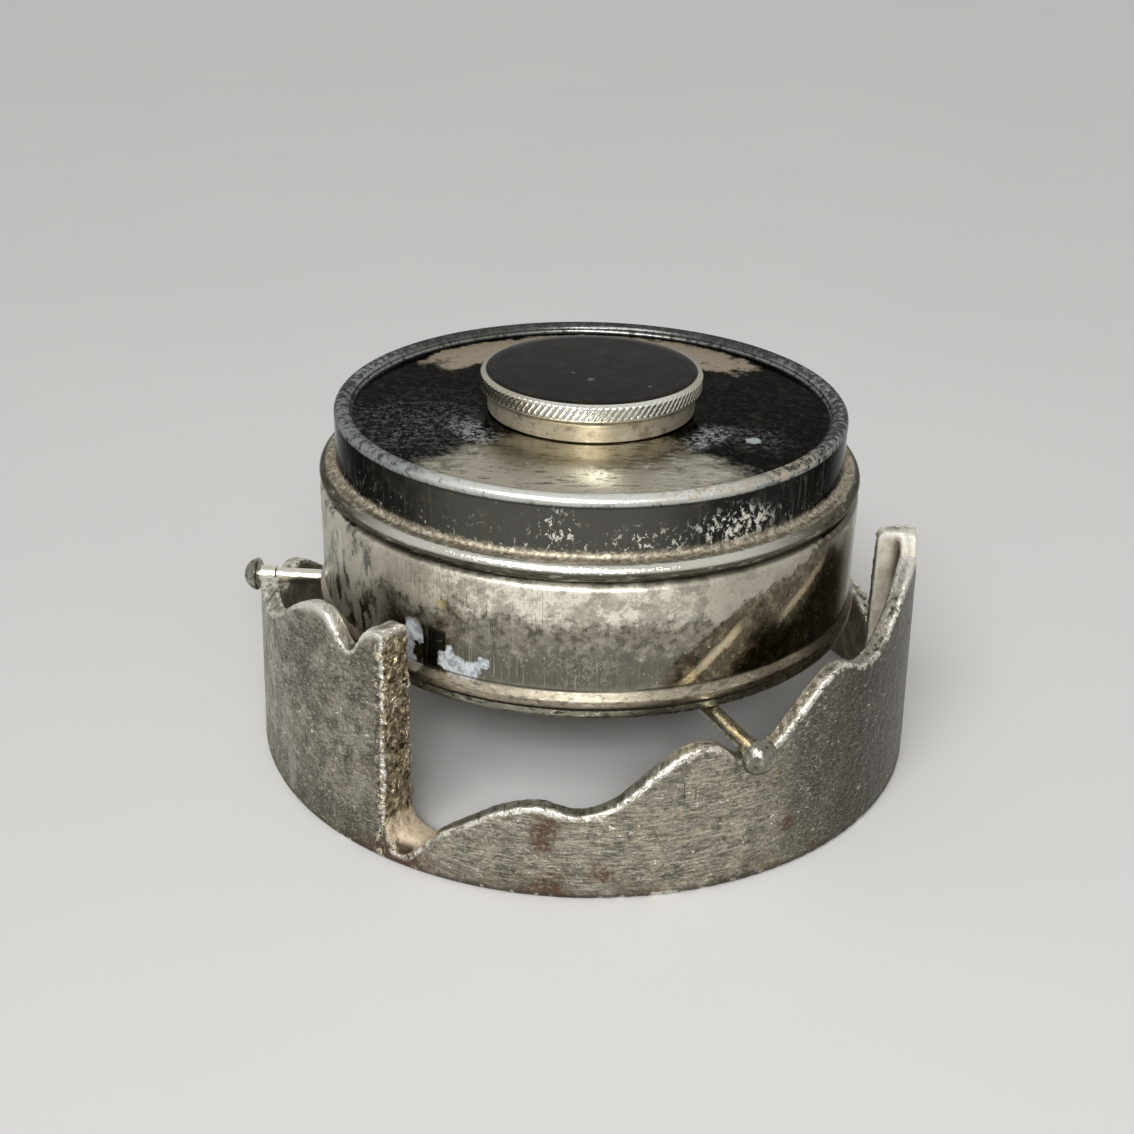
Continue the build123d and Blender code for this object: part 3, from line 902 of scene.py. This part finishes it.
# The wick: mineral wool packed into the cup up to the gauze, felted and scorched on top.
wool_low = level("wick_packing", 0)
wool_top = level("wick_packing", 1)
wool_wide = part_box("wick_packing")[1].x / MM
packing_gap = 0.3
wool_narrow = bore - packing_gap
wool_step = collar_low - packing_gap
wool_corners = [
    (0, wool_low), (wool_wide, wool_low), (wool_wide, wool_step), (wool_narrow, wool_step),
    (wool_narrow, wool_top), (0, wool_top),
]
wool_line = divided(bent(wool_corners, [0.8, 0.8, 0, 0.5]), 0.7)
points, faces = spun(wool_line, around)
packed = pressed("wool_packing", points, faces, 180)
tufts = measured(packed)
sink = np.minimum(rippled(tufts, 1.6, 3.0, 3) * 0.35 - 0.1, 0) * MM
moved(packed, tufts + facing(packed) * sink[:, None])
wool_packing = show("wool_packing", packed, "burner", "wool", "wick_packing")
wool = Finish("mineral_wool", (0.62, 0.57, 0.47), 0.95, 0.0)
fibres = wool.cloud(0.5, 4.0, 0.7, stretch=(4, 1, 1), turn=(0, 0, 35), warp=1.5)
cross_fibres = wool.cloud(0.5, 4.0, 0.7, stretch=(1, 4, 1), turn=(0, 0, 20), shift=5, warp=1.5)
wool.coat(wool.rise(fibres, 0.48, 0.62), (0.80, 0.76, 0.66))
wool.coat(wool.rise(cross_fibres, 0.5, 0.38), (0.40, 0.35, 0.26))
scorched = wool.both(
    wool.rise(wool.z, wool_top - 1.2, wool_top - 0.2), wool.patchy(0.4, 0.62, 7, 3.0)
)
wool.coat((scorched, 0.8), (0.16, 0.10, 0.055))
wool.raised(fibres, 0.3)
wool.raised(cross_fibres, 0.3)
wool.cover(wool_packing, Sheen_Weight=0.3)

# The gauze over the wool: brass wire woven plain, one wire over and one under, cut to a
# disc and slightly crowned.
gauze_low, gauze_high = (corner.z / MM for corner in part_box("gauze_disc"))
gauze_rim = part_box("gauze_disc")[1].x / MM - 0.1
gauze_thick = 0.4
gauze_crown = gauze_high - gauze_low - gauze_thick
mesh_pitch = 1.15
strand = 0.11
steps_each = 4
strand_points, strand_faces = [], []
count = int(gauze_rim / mesh_pitch)
for weft in (False, True):
    for line in range(-count, count + 1):
        offset = line * mesh_pitch
        reach = sqrt(gauze_rim**2 - offset**2)
        steps = int(2 * reach / mesh_pitch * steps_each)
        base = len(strand_points)
        for i in range(steps + 1):
            s = -reach + 2 * reach * i / steps
            over = cos(pi * (s / mesh_pitch + line)) * (1 if weft else -1)
            lift = gauze_low + gauze_thick / 2 + gauze_crown * (
                1 - (s * s + offset * offset) / gauze_rim**2
            )
            lift += over * (gauze_thick / 2 - strand)
            for k in range(5):
                a = 2 * pi * k / 5
                side, rise = offset + strand * cos(a), lift + strand * sin(a)
                strand_points.append((side, s, rise) if weft else (s, side, rise))
        ring = [(base + 5 * i, base + 5 * i + 5) for i in range(steps)]
        strand_faces += [
            (a + k, a + (k + 1) % 5, b + (k + 1) % 5, b + k) for a, b in ring for k in range(5)
        ]
        last = base + 5 * steps
        strand_faces += [tuple(base + k for k in range(5)), tuple(last + k for k in range(5))]
gauze = formed(
    "woven_gauze", np.array(strand_points) * MM, strand_faces, "burner", "gauze", "gauze_disc",
    sharp=70,
)
weave = Finish("heated_brass", (0.33, 0.23, 0.10), 0.35, 1.0)
weave.coat(weave.patchy(0.42, 0.62, 6, 4.0), (0.16, 0.10, 0.06), 0.5)
weave.coat(weave.patchy(0.55, 0.7, 9, 3.0, shift=5), (0.10, 0.09, 0.12), 0.4)
weave.coat(weave.patchy(0.55, 0.7, 0.6, 3.0), (0.52, 0.38, 0.18), 0.3)
weave_finish = weave.done()
gauze.data.materials.append(weave_finish)

# The wire ring that springs into the collar and holds the gauze down; its two ends meet.
ring_middle = (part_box("gauze_ring")[0].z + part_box("gauze_ring")[1].z) / 2 / MM
ring_wire = (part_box("gauze_ring")[1].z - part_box("gauze_ring")[0].z) / 2 / MM
ring_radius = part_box("gauze_ring")[1].x / MM - ring_wire
ring_steps = 200
gap_angle = 0.012
turns = [gap_angle + (2 * pi - 2 * gap_angle) * i / ring_steps for i in range(ring_steps + 1)]
ring_points = [
    (
        (ring_radius + ring_wire * cos(k * pi / 6)) * sin(a),
        (ring_radius + ring_wire * cos(k * pi / 6)) * cos(a),
        ring_middle + ring_wire * sin(k * pi / 6),
    )
    for a in turns
    for k in range(12)
]
ring_faces = [
    (12 * i + k, 12 * i + (k + 1) % 12, 12 * i + 12 + (k + 1) % 12, 12 * i + 12 + k)
    for i in range(ring_steps)
    for k in range(12)
]
ring_faces += [tuple(range(12)), tuple(range(12 * ring_steps, 12 * ring_steps + 12))]
retainer = formed(
    "spring_ring", np.array(ring_points) * MM, ring_faces, "burner", "gauze", "gauze_ring", sharp=50
)
retainer.data.materials.append(weave_finish)

# The lid: a pressed shell with a raised rounded rim and a hem rolled outward at its foot.
# Its nickel is a dark mirror, with white corrosion specks, pale deposits in its bends, and painted
# highlights and a painted reflection in front.
def arc(middle, radius, start, sweep, steps):
    """Points of an arc from a start angle in degrees, as (radius, height)."""
    angles = [radians(start + sweep * i / steps) for i in range(steps + 1)]
    return [Vector((middle[0] + radius * cos(a), middle[1] + radius * sin(a))) for a in angles]


hem_radius = 1.1
hem_centre = cup_radius - hem_radius
hem_level = level("lid_shell", 0) + hem_radius
hem_top = hem_level + hem_radius
lid_radius = 30.6
rim_top = level("lid_shell", 1)
lid_top = rim_top - 1.2
rim_inside = 28.7
rim_bend = 0.85
neck_hole = 11.75
hem = arc((hem_centre, hem_level), hem_radius, 180, 270, 40)
lid_corners = [
    (hem_centre, hem_top), (lid_radius, hem_top), (lid_radius, rim_top), (rim_inside, rim_top),
    (rim_inside, lid_top), (neck_hole, lid_top),
]
lid_line = hem + bent(lid_corners, [0.65, rim_bend, rim_bend, 0.55], 0.12)
points, faces = spun(folded(lid_line, 0.8), around)
flat = (points[:, 2] > (lid_top - 0.6) * MM) & (
    np.hypot(points[:, 0], points[:, 1]) < (rim_inside - 0.3) * MM
)
points[flat, 2] += rippled(points[flat], 11, 7.0) * 0.03 * MM
lid = formed(
    "lid_pressing", waved(points, 0.06, 8, 6.0), faces, "lid", "plated_mirror", "lid_shell"
)

mirror = Finish("dark_mirror", (0.020, 0.0195, 0.0175), 0.09, 1.0)
outside = mirror.either(
    mirror.rise(mirror.reach, lid_radius - 0.3, lid_radius - 0.15),
    mirror.rise(mirror.z, lid_top - 0.3, lid_top - 0.15),
)
on_wall = mirror.both(outside, mirror.rise(mirror.z, lid_top + 0.2, lid_top - 0.2))
on_plate = mirror.both(
    mirror.rise(mirror.z, lid_top - 0.3, lid_top - 0.15),
    mirror.rise(mirror.reach, rim_inside + 0.1, rim_inside - 0.2),
)
soft = mirror.cloud(3.0, 5.0, 0.7)
dusty = mirror.cloud(0.9, 4.0, 0.75, shift=3)
flecks = mirror.cloud(0.55, 4.0, 0.75, shift=27)
mirror.coat((mirror.rise(soft, 0.5, 0.7), 0.35), (0.07, 0.066, 0.056), 0.22)
mirror.coat((on_plate, mirror.rise(dusty, 0.5, 0.7), 0.5), (0.07, 0.066, 0.055), 0.25)
# The wall has upright greyish streaks, most of them in front.
upright = mirror.cloud(0.5, 3.0, 0.65, stretch=(1, 1, 14), wound=True)
mirror.coat((on_wall, mirror.toward(-8, 10, 36), 0.8), (0.125, 0.122, 0.108), 0.15)
mirror.coat((on_wall, mirror.rise(upright, 0.54, 0.72), 0.5), (0.13, 0.125, 0.108), 0.2)
mirror.coat(
    (on_wall, mirror.patchy(0.54, 0.7, 1.5, 4.0, 0.7, shift=31), 0.5), (0.12, 0.105, 0.08), 0.25
)
# Whitish clouds of fine spots on the plate, thickest on the left.
clouds = mirror.either(
    mirror.spot(-68, 21.5, lid_top, 8.0, 8.0, 1.0, 3.5, 0.9),
    mirror.spot(-77, 19.0, lid_top, 3.5, 3.5, 1.0, 2.0, 0.8),
    mirror.spot(-52, 17.5, lid_top, 4.5, 4.5, 1.0, 2.0, 0.8),
    mirror.spot(62, 21.0, lid_top, 3.2, 3.2, 1.2, 2.0, 0.8),
)
mirror.coat((on_plate, clouds, mirror.rise(dusty, 0.46, 0.66), 0.75), (0.20, 0.20, 0.19), 0.4)
mirror.coat((on_plate, clouds, mirror.rise(flecks, 0.58, 0.64), 0.8), (0.40, 0.41, 0.40), 0.5)
# Pale rings of dried spirit round the cap, thickest at its two front corners.
beside_cap = mirror.both(on_plate, mirror.within(mirror.reach, 14.4, 18.2, 0.8))
corners = mirror.either(mirror.toward(-46, 8, 30), mirror.toward(46, 8, 26))
mirror.coat((beside_cap, corners, mirror.rise(dusty, 0.44, 0.58)), (0.36, 0.38, 0.38), 0.45)
mirror.coat((beside_cap, corners, mirror.rise(flecks, 0.54, 0.6)), (0.60, 0.63, 0.63), 0.5)
# In front of the cap the plate is painted pale with a reflection of the cap's skirt, and streaked
# across.
across = mirror.cloud(0.6, 4.0, 0.7, stretch=(3.5, 1, 1), shift=33)
fading = mirror.sum("MULTIPLY", soft, mirror.toward(-2, 16, 62))
reflection_before_cap = mirror.both(
    on_plate, mirror.rise(mirror.reach, 29, 26), mirror.rise(fading, 0.2, 0.42)
)
mirror.coat((reflection_before_cap, 0.9), (0.62, 0.585, 0.475), 0.22)
mirror.coat((reflection_before_cap, mirror.rise(across, 0.47, 0.34), 0.8), (0.12, 0.11, 0.08), 0.2)
mirror.coat(
    (reflection_before_cap, mirror.toward(30, 8, 24), mirror.rise(across, 0.55, 0.62)), (0.66, 0.66, 0.61), 0.4
)
fading = mirror.sum(
    "MULTIPLY", soft,
    mirror.both(mirror.within(mirror.reach, 20.0, 28.0, 2.0), mirror.toward(180, 34, 78)),
)
behind_cap = mirror.both(on_plate, mirror.rise(fading, 0.26, 0.4))
mirror.coat((behind_cap, 0.85), (0.44, 0.37, 0.265), 0.42, 0.5)
mirror.coat((behind_cap, mirror.rise(dusty, 0.47, 0.36), 0.6), (0.22, 0.18, 0.12), 0.35)
mirror.coat((on_plate, mirror.rise(flecks, 0.64, 0.68), 0.6), (0.20, 0.20, 0.185), 0.4)
mirror.coat((on_plate, mirror.spot(61, 21.3, lid_top, 0.9, 0.9, 0.8, 0.8)), (0.50, 0.55, 0.55), 0.5)
# The rim holds a whitish deposit, with a painted highlight on it in front.
rim = mirror.rise(mirror.z, rim_top - 1.15, rim_top - 0.5)
mirror.coat((rim, 0.9), (0.10, 0.105, 0.10), 0.25)
mirror.coat((rim, mirror.rise(dusty, 0.47, 0.6), 0.85), (0.42, 0.445, 0.425), 0.45)
mirror.coat(
    (rim, mirror.patchy(0.46, 0.32, 1.3, 4.0, 0.7, shift=5), 0.8), (0.05, 0.05, 0.045), 0.25
)
mirror.coat(
    (
        mirror.within(mirror.z, rim_top - 1.0, rim_top - 0.35, 0.15),
        mirror.rise(dusty, 0.36, 0.52), 0.8,
    ),
    (0.42, 0.44, 0.42), 0.4,
)
mirror.coat(
    (rim, mirror.toward(-50, 15, 40), mirror.rise(dusty, 0.38, 0.55), 0.85), (0.34, 0.36, 0.345),
    0.45,
)
# Painted highlight: the front of the rim is painted near white.
rim_front_highlight = mirror.both(rim, mirror.toward(0, 20, 46))
mirror.coat((rim_front_highlight, mirror.rise(dusty, 0.26, 0.42)), (0.88, 0.89, 0.86), 0.2)
mirror.coat((rim_front_highlight, mirror.rise(flecks, 0.56, 0.62), 0.7), (0.62, 0.54, 0.40), 0.4)
mirror.coat((rim, mirror.toward(180, 40, 75), 0.8), (0.06, 0.062, 0.058), 0.2)
mirror.coat(
    (rim, mirror.toward(34, 8, 28), mirror.rise(dusty, 0.46, 0.58)), (0.56, 0.49, 0.37), 0.4
)
# Corrosion flakes on the wall, thickest low down at the right front.
crowd = mirror.either(
    mirror.spot(30, lid_radius, lid_top - 3.3, 4.6, 2.1, 0.5, 3.0, 0.5),
    mirror.spot(11, lid_radius, lid_top - 3.9, 4.2, 1.5, 0.5, 3.0, 0.5),
    mirror.spot(-6.5, lid_radius, lid_top - 2.6, 1.9, 2.2, 0.7, 2.0, 0.4),
)
flakes = mirror.cloud(0.7, 4.0, 0.75, stretch=(1, 1, 1.3), shift=41, warp=0.5)
crowd_first = mirror.both(
    on_wall,
    mirror.spot(31, lid_radius, lid_top - 3.4, 4.0, 2.0, 0.5, 3.0, 0.5),
    mirror.rise(flakes, 0.53, 0.55),
)
mirror.coat(
    mirror.either(crowd_first, mirror.both(on_wall, crowd, mirror.rise(flakes, 0.57, 0.59))),
    (0.66, 0.65, 0.59), 0.6, 0.4,
)
low_wall = mirror.rise(mirror.z, lid_top - 1.0, hem_top + 0.8)
sparse = mirror.both(on_wall, mirror.toward(-8, 40, 75))
mirror.coat((sparse, low_wall, mirror.rise(flakes, 0.62, 0.64)), (0.52, 0.51, 0.46), 0.6, 0.5)
mirror.coat((on_wall, mirror.rise(flecks, 0.69, 0.71)), (0.5, 0.49, 0.44), 0.5)
# The bend above the hem is full of cream deposit, and the hem itself is rubbed to a mirror, with a
# painted highlight along its front.
flare = mirror.both(
    outside, mirror.rise(mirror.scaled(dusty, -1.6, mirror.z), hem_top + 0.25, hem_top - 0.55)
)
mirror.coat((flare, 0.95), (0.46, 0.41, 0.31), 0.45, 0.75)
mirror.coat((flare, mirror.rise(flecks, 0.52, 0.42), 0.75), (0.13, 0.11, 0.075), 0.4)
mirror.coat((flare, mirror.rise(flecks, 0.56, 0.64)), (0.70, 0.65, 0.52), 0.4, 0.5)
hem_skin = mirror.rise(mirror.z, hem_top + 0.02, hem_top - 0.16)
worked = mirror.cloud(0.5, 4.0, 0.7, stretch=(5, 1, 1), shift=7, wound=True)
mirror.coat(hem_skin, (0.115, 0.107, 0.082), 0.07, 1.0)
mirror.coat((hem_skin, mirror.rise(worked, 0.55, 0.66)), (0.46, 0.44, 0.37), 0.12)
mirror.coat((hem_skin, mirror.rise(worked, 0.44, 0.34)), (0.04, 0.036, 0.027), 0.15)
# Painted highlight: a bright band along the hem in front.
mirror.coat(
    (hem_skin, mirror.rise(mirror.z, hem_top - 1.0, hem_top - 0.7), mirror.toward(-4, 24, 56), 0.9),
    (0.80, 0.79, 0.71), 0.12,
)
mirror.coat(mirror.without(outside), (0.24, 0.20, 0.13), 0.45, 0.9)
mirror.raised(mirror.both(flare, dusty), 0.10)
mirror.raised(mirror.both(rim, dusty), 0.04)
mirror.raised(mirror.cloud(1.6, 3.0), 0.008)
mirror.raised(mirror.both(on_wall, upright), 0.006)
mirror.cover(lid, Specular_Tint=(0.45, 0.45, 0.45, 1))

# The neck: a turned brass thread that stands in the lid and is let in from below, with a
# flange under the plate. Its thread climbs 1.25 mm a turn, to the right.
thread_pitch = 1.25
neck_radius = 11.7
neck_wall = 0.5
neck_flange = 14.0
flange_low = level("lid_neck", 0)
flange_top = flange_low + neck_wall
neck_top = level("lid_neck", 1)
neck_corners = [
    (neck_radius - neck_wall, flange_low), (neck_flange, flange_low), (neck_flange, flange_top),
    (neck_radius, flange_top), (neck_radius, neck_top), (neck_radius - neck_wall, neck_top),
]
neck_line = divided([Vector(c) for c in neck_corners + neck_corners[:1]], 0.12)[:-1]
points, faces = spun(neck_line, 144)


def threaded(points, radius, start, end, depth, phase):
    """Raises a right-hand thread on the wall of one radius, between two levels."""
    reach = np.hypot(points[:, 0], points[:, 1]) / MM
    height = points[:, 2] / MM
    turn = np.arctan2(points[:, 1], points[:, 0]) / (2 * pi)
    crest = np.clip(np.cos((height / thread_pitch - turn + phase) * 2 * pi) * 1.6 - 0.3, 0, 1)
    crest *= np.clip((height - start) / 0.4, 0, 1) * np.clip((end - height) / 0.4, 0, 1)
    crest[np.abs(reach - radius) > 0.02] = 0
    out = points.copy()
    out[:, :2] *= (1 + depth * crest / np.maximum(reach, 1))[:, None]
    return out


points = threaded(points, neck_radius, lid_top + 0.3, neck_top - 0.1, 0.16, 0.0)
neck = formed("threaded_neck", points, faces, "lid", "neck_brass", "lid_neck")
turned_brass = Finish("turned_brass", (0.48, 0.36, 0.17), 0.3, 1.0)
turned_brass.coat(turned_brass.patchy(0.45, 0.65, 2.0, 4.0), (0.30, 0.21, 0.10), 0.4)
turned_brass.coat(
    turned_brass.patchy(0.55, 0.7, 0.2, 2.0, stretch=(30, 30, 1)), (0.62, 0.49, 0.26), 0.22
)
turned_brass.coat(turned_brass.patchy(0.4, 0.3, 1.2, 4.0, shift=6), (0.10, 0.12, 0.07), 0.6)
turned_brass.raised(turned_brass.cloud(0.15, 2.0, stretch=(30, 30, 1)), 0.01)
turned_brass.cover(neck)

# The screw cap: pressed sheet with a plain skirt and a band of slanting grooves rolled in
# for the fingers. Its top is a dark scratched mirror, and its skirt a satin beige.
cap_foot = level("screw_cap", 0)
cap_top = level("screw_cap", 1) - 0.002
cap_radius = 12.4
band_radius = 13.25
band_top = cap_top - 0.2
band_foot = band_top - 2.0
cap_corners = [
    (cap_radius, cap_foot), (cap_radius, band_foot), (band_radius, band_foot),
    (band_radius, band_top), (band_radius - 0.6, cap_top), (0, cap_top),
]
cap_outside = bent(cap_corners, [tight, tight, 0.3, 0], 0.12)
cap_line = folded(divided(cap_outside[:-1], 0.16) + divided(cap_outside[-2:], 1.2)[1:], 2.0)
grooves = 104
cap_segments = 832
points, faces = spun(cap_line, cap_segments)
reach = np.hypot(points[:, 0], points[:, 1]) / MM
height = points[:, 2] / MM
turn = np.arctan2(points[:, 0], -points[:, 1]) / (2 * pi)
slant = np.mod(turn * grooves - (height - band_foot) * 0.95, 1.0)
ridge = np.sqrt(np.maximum(1 - (2 * slant - 1) ** 2, 0))
on_band = np.clip((reach - (band_radius - 0.62)) / 0.3, 0, 1)
on_band *= np.clip(
    (height - band_foot - 0.35) / 0.35, 0, 1
) * np.clip((cap_top - 0.02 - height) / 0.12, 0, 1)
points[:, :2] *= (1 - 0.19 * (1 - ridge) * on_band / np.maximum(reach, 1))[:, None]
in_groove = (1 - ridge) * on_band
points[:, 2] += np.where(
    (height > cap_top - 0.1) & (reach < band_radius - 0.8),
    np.minimum(rippled(points, 5, 3.0), 0) * 0.03 * MM, 0,
)
points = threaded(points, cap_radius - sheet_wall, cap_foot + 0.2, band_foot, -0.15, 0.5)
cap_mesh = pressed("cap_pressing", points, faces)
keep(cap_mesh, "groove", in_groove)
cap = show("cap_pressing", cap_mesh, "cap", "plated_knurl", "screw_cap")

capping = Finish("worn_cap", (0.50, 0.435, 0.325), 0.38, 0.6)
satin = capping.cloud(0.25, 2.0, stretch=(14, 1, 1), wound=True)
stained = capping.cloud(1.6, 4.0, 0.7)
capping.coat(capping.rise(satin, 0.5, 0.7), (0.58, 0.515, 0.40), 0.34)
capping.coat((capping.rise(stained, 0.48, 0.36), 0.6), (0.17, 0.14, 0.095), 0.45)
capping.coat((capping.rise(stained, 0.56, 0.68), 0.7), (0.68, 0.63, 0.52), 0.26)
knurled = capping.rise(capping.z, band_foot + 0.2, band_foot + 0.6)
capping.coat(knurled, (0.56, 0.53, 0.44), 0.24, 1.0)
# Painted highlight: the knurled band is painted brighter in front.
capping.coat((knurled, capping.toward(10, 20, 55)), (0.86, 0.86, 0.80), 0.18)
rubbed_band = capping.patchy(0.36, 0.56, 2.2, 4.0, 0.7, shift=19)
capping.coat((capping.marked("groove"), knurled, rubbed_band, 0.6), (0.20, 0.17, 0.12), 0.4)
disc = capping.both(
    capping.rise(capping.z, cap_top - 0.12, cap_top - 0.04),
    capping.rise(capping.reach, band_radius - 0.55, band_radius - 0.75),
)
capping.coat(disc, (0.0155, 0.0125, 0.0085), 0.12, 1.0)
nicks = capping.cloud(2.5, 4.0, 0.7, shift=4)
peppered = capping.cloud(0.4, 3.0, 0.7, shift=9)
capping.coat((disc, capping.rise(nicks, 0.5, 0.68), 0.6), (0.045, 0.037, 0.026), 0.2)
capping.coat((disc, capping.rise(peppered, 0.64, 0.68), 0.6), (0.12, 0.11, 0.09), 0.35)
for place, wide in (((-2, 4.0), 0.4), ((-52, 2.8), 0.2), ((48, 9.0), 0.22)):
    capping.coat(
        (disc, capping.spot(*place, cap_top, wide, 0.6, 1.0, 0.3, 0.5), 0.7), (0.30, 0.29, 0.25),
        0.35,
    )
capping.coat(
    (disc, capping.patchy(0.7, 0.74, 0.2, 2.0, stretch=(9, 1, 1), turn=(0, 0, 12)), 0.5),
    (0.2, 0.19, 0.165), 0.3,
)
under = capping.both(
    capping.rise(capping.reach, cap_radius - 0.3, cap_radius - 0.4),
    capping.rise(capping.z, cap_top - 0.25, cap_top - 0.35),
)
capping.coat(under, (0.30, 0.25, 0.16), 0.45, 0.9)
capping.raised(satin, 0.01)
capping.raised(capping.both(disc, nicks), 0.02)
capping.cover(cap, Specular_Tint=(0.6, 0.6, 0.6, 1))

# The washer inside the cap: pressed cork and rubber, marked by the rim of the neck.
liner_low, liner_high = (corner.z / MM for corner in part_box("cap_liner"))
liner_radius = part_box("cap_liner")[1].x / MM
ring_mark = neck_radius - neck_wall / 2
liner_corners = [
    (0, liner_low), (ring_mark - 0.5, liner_low),
    (ring_mark - 0.3, liner_low + 0.12),
    (liner_radius - 0.05, liner_low + 0.12),
    (liner_radius, liner_low + 0.2), (liner_radius, liner_high), (0, liner_high),
]
points, faces = spun(divided(bent(liner_corners, [0, 0, 0, 0, 0.12]), 0.6), 120)
washer = formed("cork_washer", points, faces, "liner", "liner", "cap_liner")
cork = Finish("cork_and_rubber", (0.16, 0.10, 0.055), 0.85, 0.0)
cork.coat(cork.rise(cork.grain_shade(0.9), 0.5, 0.55), (0.26, 0.17, 0.09))
cork.coat(cork.rise(cork.grain_shade(0.6, 4.0), 0.8, 0.85), (0.05, 0.035, 0.025))
cork.raised(cork.cells(0.9), 0.1)
cork.cover(washer)
